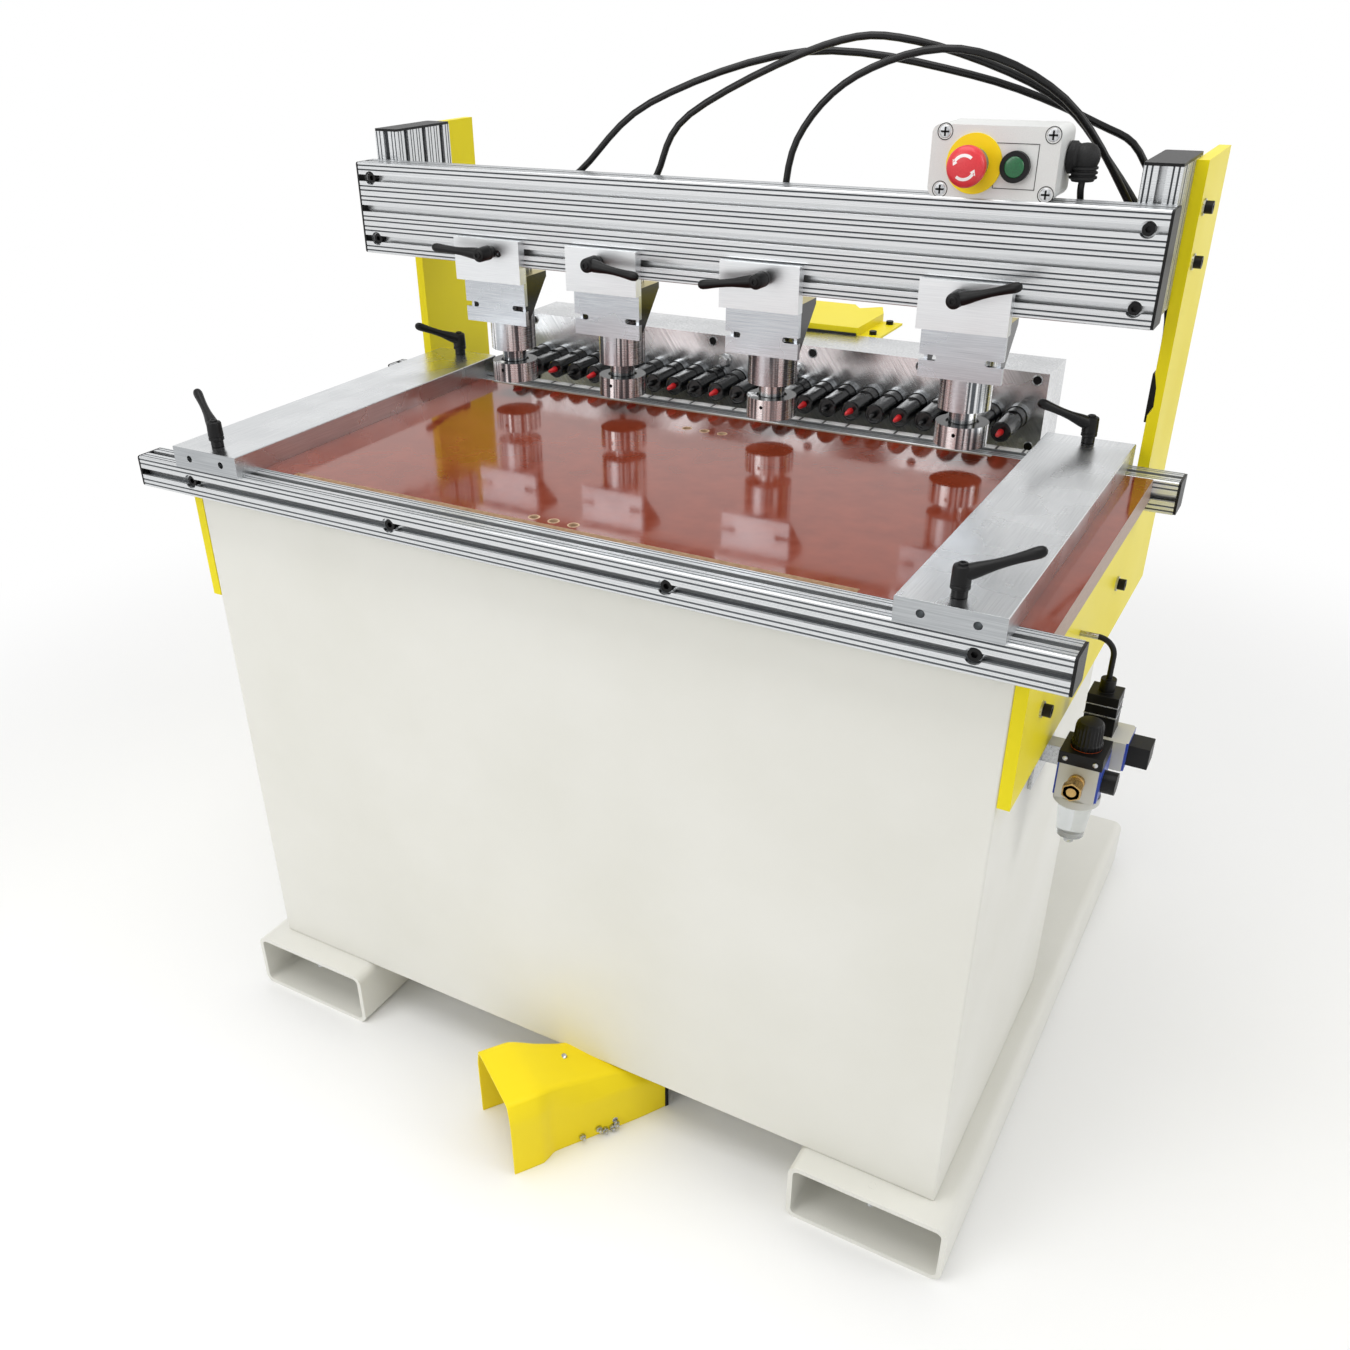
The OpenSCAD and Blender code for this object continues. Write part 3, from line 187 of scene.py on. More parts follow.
def new_finish(name, **values):
    """A material with one Principled shader; the values are set on the shader's own sockets."""
    material = bpy.data.materials.new(name)
    material.use_nodes = True
    tree = material.node_tree
    tree.nodes.clear()
    sockets = {key.replace("_", " "): value for key, value in values.items()}
    shader = add_node(tree, "ShaderNodeBsdfPrincipled", {}, sockets)
    add_node(tree, "ShaderNodeOutputMaterial", {}, {"Surface": shader.outputs[0]})
    return material, tree, shader


def speckle(tree, shader, size_mm, stretch=(1, 1, 1), height_mm=0.02, detail=3.0, turn=(0, 0, 0)):
    """Grain of a real size in millimetres as bump; stretch makes it longer along an axis of the
    turned pattern. None is drawn finer than half a millimetre, because it wouldn't show. Returns
    the grain, so that colour and gloss can follow it."""
    place = add_node(tree, "ShaderNodeTexCoord", {}, {})
    move = add_node(tree, "ShaderNodeMapping", {"vector_type": "TEXTURE"}, {
        "Vector": place.outputs["Object"], "Rotation": turn, "Scale": stretch})
    grain = add_node(tree, "ShaderNodeTexNoise", {}, {
        "Vector": move.outputs[0], "Scale": 1 / (MM * size_mm), "Detail": detail, "Roughness": 0.6})
    if height_mm:
        bump = add_node(tree, "ShaderNodeBump", {}, {
            "Height": grain.outputs["Fac"], "Distance": height_mm * MM, "Strength": 1.0})
        tree.links.new(bump.outputs[0], shader.inputs["Normal"])
    return grain.outputs["Fac"]


def between(tree, shader, socket, factor, low, high, start=0.3, end=0.7):
    """Lets a factor carry one of the shader's sockets from low to high, a number or a colour."""
    if isinstance(low, str):
        ramp = add_node(tree, "ShaderNodeValToRGB", {}, {"Fac": factor})
        ramp.color_ramp.elements[0].position = start
        ramp.color_ramp.elements[1].position = end
        ramp.color_ramp.elements[0].color = linear(low)
        ramp.color_ramp.elements[1].color = linear(high)
        tree.links.new(ramp.outputs[0], shader.inputs[socket])
    else:
        scaled = add_node(tree, "ShaderNodeMapRange", {}, {
            "Value": factor, "From Min": start, "From Max": end, "To Min": low, "To Max": high})
        tree.links.new(scaled.outputs[0], shader.inputs[socket])


def grained(name, size_mm, height_mm, colour, roughness, stretch=(1, 1, 1), detail=3.0, **values):
    """A finish with one grain. A colour or roughness given as a low and a high value follows the
    grain between the two; a single one is even and is set on the shader's own socket."""
    material, tree, shader = new_finish(name, **values)
    grain = speckle(tree, shader, size_mm, stretch, height_mm, detail)
    for socket, value in (("Base Color", colour), ("Roughness", roughness)):
        if isinstance(value, tuple):
            between(tree, shader, socket, grain, *value)
        else:
            even = linear(value) if isinstance(value, str) else value
            shader.inputs[socket].default_value = even
    return material


def finished(name, mesh, body, materials, smooth, bevel_mm, riding=True):
    """Puts a mesh on the stage of its body, with its materials, sharp edges and bevel."""
    for material in materials:
        mesh.materials.append(material)
    mesh.shade_smooth()
    mesh.set_sharp_from_angle(angle=np.radians(smooth))
    made = bpy.data.objects.new(name, mesh)
    bpy.context.scene.collection.objects.link(made)
    if bevel_mm:
        bevel = made.modifiers.new("edge", "BEVEL")
        bevel.width = bevel_mm * MM
        bevel.segments = 2
        bevel.angle_limit = np.radians(smooth)
        bevel.harden_normals = True
    if riding:
        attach(made, body)
    return made


MERGE = 0.002 * MM


def piece(name, parts, body, material, smooth=35.0, bevel_mm=0.0, riding=True):
    """One object from parts of points, in millimetres, and faces: doubles are merged, faces point
    outwards, and edges sharper than the smooth angle stay sharp or get a small bevel."""
    points, faces, first = [], [], 0
    for part_points, part_faces in parts:
        points.append(np.asarray(part_points, float).reshape(-1, 3))
        faces += [[first + v for v in face] for face in part_faces]
        first += len(points[-1])
    mesh = bpy.data.meshes.new(name)
    mesh.from_pydata(at(np.vstack(points)).tolist(), [], faces)
    work = bmesh.new()
    work.from_mesh(mesh)
    bmesh.ops.remove_doubles(work, verts=work.verts, dist=MERGE)
    bmesh.ops.recalc_face_normals(work, faces=work.faces)
    work.to_mesh(mesh)
    work.free()
    return finished(name, mesh, body, [material], smooth, bevel_mm, riding)


def declared_cord(path):
    """Turns a cord's path, given in millimetres, into metres in the frame; the path is not used
    further.
    """
    path = at(path)


# Extruded polyurethane: smooth and even, with a soft sheen that stays dark.
polyurethane = grained("black_polyurethane_tube", 1.2, 0.004, "#0c0c0d", 0.32,
                       Specular_IOR_Level=0.35)
for i, (x, bends) in enumerate(zip(CLAMP_X, hose_bends), start=1):
    route = route_down([x, FITTING_Y, FITTING_Z], bends, i)
    hose = piece(f"clamp_hose_{i}", [tube(route, HOSE_R, 16)], None, polyurethane,
                 riding=False)
    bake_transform(hose)
    declared_cord(route)
    if i == 1:
        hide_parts("air_hoses")
route = route_down(ELBOW - [0, 0, ELBOW_DROP], cable_bends, 0)
cable = piece("box_cable", [tube(route, CABLE_R, 16)], "root", polyurethane)
declared_cord(route)

# Floor and light: a plain pale workshop floor under broad, soft ceiling lights. Far from the
# machine the floor is seen as white as the walls, so that no horizon shows behind it.
FLOOR_HALF = 9.0
FADE_START, FADE_END = 1.15, 2.3
floor_paint, tree, shader = new_finish("pale_floor", Base_Color=linear("#f8f8f7"), Roughness=0.8)
place = add_node(tree, "ShaderNodeTexCoord", {}, {})
reach = add_node(tree, "ShaderNodeVectorMath", {"operation": "LENGTH"}, {0: place.outputs["Object"]})
fade = add_node(tree, "ShaderNodeMapRange", {"interpolation_type": "SMOOTHSTEP"}, {
    "Value": reach.outputs["Value"], "From Min": FADE_START, "From Max": FADE_END})


def seen_directly(tree):
    """One for a ray from the camera, from gloss or through glass, and none for scattered light."""
    rays = add_node(tree, "ShaderNodeLightPath", {}, {})
    clear = add_node(tree, "ShaderNodeMath", {"operation": "MAXIMUM"}, {
        0: rays.outputs["Is Camera Ray"], 1: rays.outputs["Is Transmission Ray"]})
    seen = add_node(tree, "ShaderNodeMath", {"operation": "MAXIMUM"}, {
        0: clear.outputs[0], 1: rays.outputs["Is Glossy Ray"]})
    return seen.outputs[0]


share = add_node(tree, "ShaderNodeMath", {"operation": "MULTIPLY"}, {
    0: fade.outputs[0], 1: seen_directly(tree)})
white = add_node(tree, "ShaderNodeEmission", {}, {"Color": (1, 1, 1, 1), "Strength": 1.0})
blend = add_node(tree, "ShaderNodeMixShader", {}, {
    0: share.outputs[0], 1: shader.outputs[0], 2: white.outputs[0]})
tree.links.new(blend.outputs[0], tree.nodes["Material Output"].inputs["Surface"])
floor_mesh = bpy.data.meshes.new("floor")
floor_mesh.from_pydata([(-FLOOR_HALF, -FLOOR_HALF, 0), (FLOOR_HALF, -FLOOR_HALF, 0),
                        (FLOOR_HALF, FLOOR_HALF, 0), (-FLOOR_HALF, FLOOR_HALF, 0)], [], [(0, 1, 2, 3)])
floor_mesh.materials.append(floor_paint)
floor = bpy.data.objects.new("floor", floor_mesh)
bpy.context.scene.collection.objects.link(floor)

SCATTERED_LEVEL, CEILING_LEVEL = 0.55, 0.62
CEILING_START, CEILING_FULL = 0.25, 0.6
world = bpy.data.worlds.new("studio")
world.use_nodes = True
tree = world.node_tree
tree.nodes.clear()
place = add_node(tree, "ShaderNodeTexCoord", {}, {})
height = add_node(tree, "ShaderNodeSeparateXYZ", {}, {0: place.outputs["Generated"]})
walls = add_node(tree, "ShaderNodeMapRange", {"interpolation_type": "SMOOTHSTEP"}, {
    "Value": height.outputs["Z"], "From Min": CEILING_START, "From Max": CEILING_FULL,
    "To Min": 1.0, "To Max": CEILING_LEVEL})
strength = add_node(tree, "ShaderNodeMapRange", {}, {
    "Value": seen_directly(tree), "To Min": SCATTERED_LEVEL, "To Max": walls.outputs[0]})
sky = add_node(tree, "ShaderNodeBackground", {}, {
    "Color": (1.0, 1.0, 1.0, 1.0), "Strength": strength.outputs[0]})
add_node(tree, "ShaderNodeOutputWorld", {}, {"Surface": sky.outputs[0]})
bpy.context.scene.world = world
bpy.context.scene.view_settings.view_transform = "Standard"


def soft_light(name, place, target, size, power):
    """A square ceiling panel of that size in metres, turned to face its target."""
    lamp = bpy.data.lights.new(name, "AREA")
    lamp.shape = "SQUARE"
    lamp.size = size
    lamp.energy = power
    made = bpy.data.objects.new(name, lamp)
    back = np.asarray(place, float) - np.asarray(target, float)
    back /= np.linalg.norm(back)
    side = np.cross([0.0, 1.0, 0.02], back)
    side /= np.linalg.norm(side)
    stand = np.eye(4)
    stand[:3, :3] = np.column_stack([side, np.cross(back, side), back])
    stand[:3, 3] = place
    made.matrix_world = Matrix(stand.tolist())
    bpy.context.scene.collection.objects.link(made)


soft_light("ceiling", (-0.3, -0.6, 3.4), (0, 0, 0.8), 2.6, 56)
soft_light("front", (-1.6, -3.2, 2.2), (0, 0, 0.7), 1.8, 32)
soft_light("right", (3.0, 0.2, 2.4), (0.3, 0, 0.3), 1.6, 24)


# Skids: two wide rectangular tubes, open at both ends so that a pallet truck's forks go in,
# welded under the cabinet. Cream powder coat, with the peel that it dries to, and zinc anchor bolts.
def clouds(tree, size_mm, detail):
    """Slow noise of that size, for a colour or a gloss that changes from place to place."""
    place = add_node(tree, "ShaderNodeTexCoord", {}, {})
    cloud = add_node(tree, "ShaderNodeTexNoise", {}, {
        "Vector": place.outputs["Object"], "Scale": 1 / (MM * size_mm), "Detail": detail})
    return cloud.outputs["Fac"]


def powder_coat(name, colour, shade, roughness, shine=0.5):
    """Baked powder coat: an even colour a little darker in clouds, and a soft orange peel."""
    material, tree, shader = new_finish(name, Specular_IOR_Level=shine)
    speckle(tree, shader, 2.6, height_mm=0.012)
    cloud = clouds(tree, 250.0, 4.0)
    between(tree, shader, "Base Color", cloud, colour, shade, 0.35, 0.75)
    between(tree, shader, "Roughness", cloud, roughness, roughness + 0.1)
    return material


def body_of(node):
    """The body that a CAD node moves with."""
    return frame["nodes"][node]["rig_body"]


FLAT_ANGLE = np.radians(0.6)


def dressed(node, materials, bevel_mm, picks=(), smooth=35.0, reshaped=None):
    """The CAD node's own shape with its triangles joined to whole faces and its edges rounded.
    Each pick is a test on the x, y and z of the faces' middles, in millimetres, and on the rows
    x, y and z of their normals, for the next material in the list. Reshaped takes the points in
    millimetres and gives them back moved a little."""
    mesh = frame["nodes"][node].data.copy()
    mesh.materials.clear()
    if reshaped:
        points = np.empty(3 * len(mesh.vertices), np.float32)
        mesh.vertices.foreach_get("co", points)
        moved = reshaped((points.reshape(-1, 3) - middle) / MM)
        mesh.vertices.foreach_set("co", at(moved).astype(np.float32).ravel())
    work = bmesh.new()
    work.from_mesh(mesh)
    bmesh.ops.remove_doubles(work, verts=work.verts, dist=MERGE)
    bmesh.ops.dissolve_limit(work, angle_limit=FLAT_ANGLE, verts=work.verts, edges=work.edges)
    faces = list(work.faces)
    centres = (np.array([f.calc_center_median() for f in faces]) - middle) / MM
    normals = np.array([f.normal for f in faces])
    for k, pick in enumerate(picks, start=1):
        for chosen in np.flatnonzero(pick(*centres.T, normals.T)):
            faces[chosen].material_index = k
    work.to_mesh(mesh)
    work.free()
    if "custom_normal" in mesh.attributes:
        mesh.attributes.remove(mesh.attributes["custom_normal"])
    made = finished(node + "_finished", mesh, body_of(node), materials, smooth, bevel_mm)
    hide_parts(node)
    return made


cream_enamel = powder_coat("cream_powder_coat", "#e6e5de", "#dfded5", 0.30)
# Zinc plating is bright but uneven: its grey and its gloss change from spot to spot.
zinc = grained("zinc_plated_steel", 3.0, 0.01, ("#a9abae", "#cfd0d1"), (0.22, 0.4), Metallic=1.0)
SKID_MIDDLE = 441.0
ANCHOR_Y, ANCHOR_R, ANCHOR_TOP = 25.0, 11.0, 87.0
dressed("skids", [cream_enamel, zinc], 0.8, [
    lambda x, y, z, n: (np.hypot(np.abs(x) - SKID_MIDDLE, y - ANCHOR_Y) < ANCHOR_R)
    & (z < ANCHOR_TOP)])

# Cabinet: a folded and welded sheet box on the skids, which carries the table beams, with the
# lower pedestal behind it. The same cream coat; its folded edges are rounded by the press brake.
dressed("cabinet", [cream_enamel], 2.5)

# Side plates: two thick steel plates screwed on the beams' ends and the uprights, which tie
# table, cabinet and clamp beam together. Bright yellow enamel over sawn edges.
yellow_enamel = powder_coat("yellow_enamel", "#eedd10", "#e8d60a", 0.34, 0.25)
dressed("side_plates", [yellow_enamel], 0.7)

# Table beams and clamp frame: T-slot extrusions, drawn through a die, so that fine lines run
# along them, and clear anodised. The walls of their fine grooves are dull, and a darker grey on
# them is painted shade. Two carry the table and one the clamps, on two short uprights.
MODULE = 38.1
REAR_BEAM_Y, BEAM_Z = 476.8, 804.4
UPRIGHT_X, CLAMP_BEAM_Y, CLAMP_BEAM_Z = 474.6, 403.0, 1019.4
CHAMFER_REACH, SLANT = 2.5, 0.8
GROOVE_FIRST, GROOVE_STEP, GROOVE_REACH = 7.5, 2.6, 0.6
RIM_DEPTH, OPENED_DEPTH, WIDENED, NEAR = 0.1, 0.85, 0.9, 0.05


def drawn_aluminium(name, low, high, satin, metal=1.0):
    """Anodised extrusion: hair lines along its length, drawn broad enough to show, a satin sheen
    and a bluish-white grey."""
    return grained(name, 0.7, 0.002, (low, high), (satin, satin + 0.1), (700.0, 1.0, 1.0),
                   Metallic=metal, Anisotropic=0.4)


def span(values, low, high):
    """True where a value lies between low and high."""
    return (values > low) & (values < high)


def scored(*corners):
    """A test for the slanting faces of the fine grooves, which get the painted shade. A slanting face
    near two outer edges at once, each given as its axis and the edges' places, is a corner's chamfer
    and stays bright."""
    def test(x, y, z, n):
        places = np.abs([x, y, z])
        chamfer = np.zeros(len(x), bool)
        for pair in corners:
            near = [np.abs(places[axis] - np.array(edges)[:, None]).min(0) < CHAMFER_REACH
                    for axis, edges in pair]
            chamfer |= near[0] & near[1]
        return (np.abs(n).max(0) < SLANT) & ~chamfer
    return test


def fewer_grooves(*bars):
    """Of the four fine grooves on each side of a slot, every second one is closed and the others
    are opened to twice the width, so that they show as lines from a few metres away. A bar is
    its two section axes with the low and high edge on each."""
    def moved(p):
        p = p.copy()
        for (a, a_low, a_high), (b, b_low, b_high) in bars:
            inside = (span(p[:, a], a_low - NEAR, a_high + NEAR)
                      & span(p[:, b], b_low - NEAR, b_high + NEAR))
            for face, side, low in ((a, b, b_low), (b, a, a_low)):
                edges = (a_low, a_high) if face == a else (b_low, b_high)
                for edge, other in (edges, edges[::-1]):
                    depth = np.abs(p[:, face] - edge)
                    off = (p[:, side] - low) % MODULE - MODULE / 2
                    k = np.round((np.abs(off) - GROOVE_FIRST) / GROOVE_STEP)
                    rest = np.abs(off) - GROOVE_FIRST - k * GROOVE_STEP
                    groove = (inside & (depth < GROOVE_REACH) & (k >= 0) & (k < 4)
                              & (np.abs(rest) < GROOVE_REACH))
                    floor_place = edge + np.sign(other - edge) * OPENED_DEPTH * (k % 2)
                    rims = groove & (depth < RIM_DEPTH) & (k % 2 == 1)
                    p[:, face] = np.where(groove & (depth > RIM_DEPTH), floor_place, p[:, face])
                    p[:, side] += np.where(rims, WIDENED * rest * np.sign(off), 0.0)
        return p
    return moved


extrusion = drawn_aluminium("anodised_extrusion", "#cfd1d3", "#e0e2e3", 0.25, metal=0.8)
groove_painted_shade = drawn_aluminium("groove_walls_painted_shade", "#5a5d60", "#6e7174", 0.45)
beam_y = [0.0, MODULE, REAR_BEAM_Y, REAR_BEAM_Y + MODULE]
beam_z = [BEAM_Z, BEAM_Z + MODULE]
dressed("table_beams", [extrusion, groove_painted_shade], 0,
        [scored(((1, beam_y), (2, beam_z)))],
        reshaped=fewer_grooves(*(((1, *beam_y[k:k + 2]), (2, *beam_z)) for k in (0, 2))))
upright_x = [UPRIGHT_X, UPRIGHT_X + MODULE]
clamp_y = [CLAMP_BEAM_Y + k * MODULE for k in (0, 1, 4)]
clamp_z = [CLAMP_BEAM_Z, CLAMP_BEAM_Z + 3 * MODULE]
uprights = [((0, *sorted(s * v for v in upright_x)), (1, *clamp_y[1:])) for s in (1, -1)]
dressed("clamp_frame", [extrusion, groove_painted_shade], 0,
        [scored(((1, clamp_y), (2, clamp_z)), ((0, upright_x), (1, clamp_y)))],
        reshaped=fewer_grooves(((1, *clamp_y[:2]), (2, *clamp_z)), *uprights))

# Caps and screws: black nylon caps close the cut ends of the extrusions, and black socket screws
# with bright washers hold the plates. Moulded nylon is a deep black with a dull, broad sheen.
black_nylon = grained("black_nylon", 0.8, 0.01, "#0b0b0c", (0.34, 0.48), Specular_IOR_Level=0.25)
WASHER_X, WASHER_FRONT, WASHER_LOW = (525.3, 527.5), 60.0, 700.0
dressed("caps_and_screws", [black_nylon, zinc], 0.5, [
    lambda x, y, z, n: span(np.abs(x), *WASHER_X) & (y > WASHER_FRONT) & (z > WASHER_LOW)])

# Table: a board faced on both sides with a glossy reddish-brown phenolic laminate, let in
# between the beams. The routed steps along its edges and the rims of its holes show the core.
TABLE_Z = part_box("table_top")[1].z / MM
BOARD_T, BOARD_Y, BOARD_END = 20.0, (40.0, 475.0), 530.0
FACING = 0.9
# Pressed laminate mirrors the clamps and waves a little; the raw core is dull and fibrous.
laminate = grained("phenolic_laminate", 40.0, 0.05, ("#762f1b", "#843a25"), (0.06, 0.12), detail=2.0,
                   Specular_IOR_Level=0.45, Coat_Weight=0.1, Coat_Roughness=0.03)
raw_board = grained("routed_board_core", 1.4, 0.15, ("#a98a6c", "#cdb091"), 0.75, (6.0, 1.0, 1.0))
sealed_edge = grained("sealed_board_edge", 1.8, 0.05, ("#937a68", "#a88f7e"), 0.4, (1.0, 9.0, 1.0))
dressed("table_top", [laminate, raw_board, sealed_edge], 0.3, [
    lambda x, y, z, n: span(z, TABLE_Z - BOARD_T, TABLE_Z - 0.5) & span(y, *BOARD_Y)
    & ((n[2] > 0.5) | (np.hypot(n[0], n[1]) > FACING)),
    lambda x, y, z, n: np.abs(n[0]) * np.abs(x) > BOARD_END])


def turned(profile, start, axis=(0, 0, 1), sides=32, grooves=0, ends=True):
    """Circles with a profile's radii at its heights along an axis from a start, as on a lathe. A
    third column is the depth of that many grooves cut round the row, in cosine waves."""
    profile = np.asarray(profile, float)
    axis = np.asarray(axis, float) / np.linalg.norm(axis)
    beside = np.cross(axis, [0.0, 1.0, 0.0] if abs(axis[1]) < 0.9 else [1.0, 0.0, 0.0])
    beside /= np.linalg.norm(beside)
    over = np.cross(axis, beside)
    angle = np.linspace(0, 2 * np.pi, sides, endpoint=False)
    radius = np.repeat(profile[:, :1], sides, axis=1)
    if profile.shape[1] > 2:
        radius = radius - profile[:, 2:] * (0.5 - 0.5 * np.cos(grooves * angle))
    ring = np.cos(angle)[:, None] * beside + np.sin(angle)[:, None] * over
    points = np.asarray(start, float) + profile[:, 1, None, None] * axis + radius[:, :, None] * ring
    faces = grid_faces(len(profile), sides)
    caps = closed_ends(len(profile), sides)
    faces += [cap for cap, row in zip(caps, (0, -1)) if ends and profile[row, 0] > 0]
    return points.reshape(-1, 3), faces


def block(low, high):
    """A box between two corners, as eight points and six faces."""
    low, high = np.asarray(low, float), np.asarray(high, float)
    pick = np.array([[a, b, c] for c in (0, 1) for a, b in ((0, 0), (1, 0), (1, 1), (0, 1))])
    faces = [[0, 1, 2, 3], [4, 5, 6, 7], [0, 1, 5, 4], [1, 2, 6, 5], [2, 3, 7, 6], [3, 0, 4, 7]]
    return low + pick * (high - low), faces


def turned_pieces(name, profile, places, axis, sides, body, material, ends=True):
    """One piece with the same turned form at each place, along one axis."""
    return piece(name, [turned(profile, place, axis, sides, ends=ends) for place in places],
                 body, material)


HOLE_R, HOLE_X, HOLE_STEP, HOLE_ROWS = 5.0, 8.0, 25.0, (56.6, 404.6)
rim = [(HOLE_R, -3), (HOLE_R, 0.1), (HOLE_R + 0.4, 0.25), (HOLE_R + 1.5, 0.2), (HOLE_R + 1.8, -0.1),
       (HOLE_R, -3)]
hole_places = [(HOLE_X + k * HOLE_STEP, y, TABLE_Z) for y in HOLE_ROWS for k in (-1, 0, 1)]
turned_pieces("stop_hole_rims", rim, hole_places, (0, 0, 1), 24, "root", raw_board,
              ends=False)

# Scale strip: a thin printed steel rule stuck on the rear beam's top, between the fences, with a
# line every 32 mm for the spindles' pitch, drawn broad enough to show. Its white is under a
# satin film.
PITCH = 32.0
STRIP_X, STRIP_Y, STRIP_T = (-368.0, 388.0), (501.5, 513.5), 0.3
# Where the dark line ends and the white begins, as shares of the pitch from the line's middle
LINE_END, WHITE_START = 0.035, 0.05
rule, tree, shader = new_finish("printed_rule", Roughness=0.35)
place = add_node(tree, "ShaderNodeTexCoord", {}, {})
sides_of = add_node(tree, "ShaderNodeSeparateXYZ", {}, {0: place.outputs["Object"]})
# A hundred pitches keep the count above zero, and half a one puts its middle on a line.
steps = add_node(tree, "ShaderNodeMath", {"operation": "MULTIPLY_ADD"}, {
    0: sides_of.outputs["X"], 1: 1 / (PITCH * MM), 2: 100.5 - float(middle[0]) / (PITCH * MM)})
within = add_node(tree, "ShaderNodeMath", {"operation": "FRACT"}, {0: steps.outputs[0]})
off = add_node(tree, "ShaderNodeMath", {"operation": "SUBTRACT"}, {0: within.outputs[0], 1: 0.5})
apart = add_node(tree, "ShaderNodeMath", {"operation": "ABSOLUTE"}, {0: off.outputs[0]})
between(tree, shader, "Base Color", apart.outputs[0], "#2b2c2e", "#f0f1f0", LINE_END, WHITE_START)
piece("scale_strip", [block((STRIP_X[0], STRIP_Y[0], TABLE_Z),
                            (STRIP_X[1], STRIP_Y[1], TABLE_Z + STRIP_T))],
      "root", rule)


# Fences: two thick aluminium bars, ground on top, that slide on the beams and are held by
# T-nuts and levers. Grinding leaves long faint streaks across a bright, cloudy face, and the
# sawn ends are greyer and duller.
LINE_STRETCH = 60.0


def milled_aluminium(name, along, line_mm, low, high, gloss, turn=(0, 0, 0)):
    """Milled or ground plate: lines along the cutter's feed, drawn broad enough to show, and
    slow clouds in the shine."""
    material, tree, shader = new_finish(name, Metallic=1.0, Anisotropic=0.3)
    stretch = [1.0, 1.0, 1.0]
    stretch[along] = LINE_STRETCH
    grain = speckle(tree, shader, line_mm, stretch, 0.004, 5.0, turn)
    between(tree, shader, "Base Color", grain, low, high)
    between(tree, shader, "Roughness", clouds(tree, 71.43, 3.0), *gloss)
    return material


ground_plate = milled_aluminium("ground_aluminium", 1, 1.0, "#d4d6d8", "#e8eaeb", (0.2, 0.36))
sawn_end = milled_aluminium("sawn_aluminium_end", 0, 1.2, "#a3a6a9", "#c0c3c5", (0.34, 0.5))
for side in ("left", "right"):
    dressed(f"fence_{side}", [ground_plate, sawn_end], 0.5,
            [lambda x, y, z, n: np.abs(n[1]) > FACING])

# Levers: eight ratchet levers of black glass-filled nylon on steel studs. The hub is turned in
# steps with a ring round it, and the arm narrows to its middle and widens to a round end.
HUB_PROFILE = [(6.3, 0), (7.4, 0.5), (7.4, 7.0), (8.2, 7.6), (9.0, 8.2), (9.0, 11.0), (8.5, 11.5),
               (8.5, 12.4), (9.0, 12.9), (8.6, 27.5), (8.0, 29.2), (6.4, 30.0), (4.6, 30.2),
               (4.5, 31.4), (3.9, 31.9), (2.6, 31.9), (2.2, 30.6), (0, 30.6)]
ARM_ALONG = [0, 9, 15, 22, 30, 39, 47, 55, 62, 67, 70.5, 72.6, 73.4]
ARM_RADII = [7.4, 7.4, 6.9, 5.9, 5.0, 4.6, 4.6, 4.9, 5.4, 5.5, 4.7, 3.0, 0.8]
ARM_Z, STUD_R = 21.0, 3.8
FENCE_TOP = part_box("fence_left")[1].z / MM
FENCE_RISE, FENCE_STUD = 24, 31.9
CLAMP_RISE, CLAMP_STUD = 6, 19.2
PLATE_FRONT, HINGE_Z = 390.3, 1038.45
# Each fence lever's x, y and turn, and each clamp lever's offset from its clamp and turn
front_slot, rear_slot = MODULE / 2, REAR_BEAM_Y + MODULE / 2
fence_levers = [(-442.7, front_slot, 150), (-442.7, rear_slot, 245), (457, front_slot, 12),
                (457, rear_slot, 218)]
clamp_levers = [(9, 176), (-2, -6), (9, 187), (-3, 17)]


def add_lever(node, place, arm, hub, rise, stud):
    """A hub turned round its axis from a place, and an arm that leaves it along the arm's
    direction at a rise: a row of circles whose radii follow the arm's table."""
    arm, hub = np.asarray(arm, float), np.asarray(hub, float)
    axes = np.column_stack([arm, np.cross(hub, arm), hub])
    profile = [(0, -stud), (STUD_R, -stud), (STUD_R, 0)] + HUB_PROFILE
    upward = np.array([np.cos(np.radians(rise)), 0, np.sin(np.radians(rise))])
    path = np.array([0, 0, ARM_Z]) + np.array(ARM_ALONG)[:, None] * upward
    parts = [turned(profile, (0, 0, 0)), tube(path, ARM_RADII, 20)]
    made = piece(node + "_arm", [(np.asarray(place, float) + points @ axes.T, faces)
                                 for points, faces in parts],
                 body_of(node), black_nylon, smooth=30)
    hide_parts(node)


for k, (x, y, turn) in enumerate(fence_levers, start=1):
    arm = (np.cos(np.radians(turn)), np.sin(np.radians(turn)), 0)
    add_lever(f"fence_lever_{k}", (x, y, FENCE_TOP), arm, (0, 0, 1), FENCE_RISE, FENCE_STUD)
for k, (x, (dx, turn)) in enumerate(zip(CLAMP_X, clamp_levers), start=1):
    arm = (np.cos(np.radians(turn)), 0, np.sin(np.radians(turn)))
    add_lever(f"clamp_lever_{k}", (x + dx, PLATE_FRONT, HINGE_Z), arm, (0, -1, 0), CLAMP_RISE,
              CLAMP_STUD)

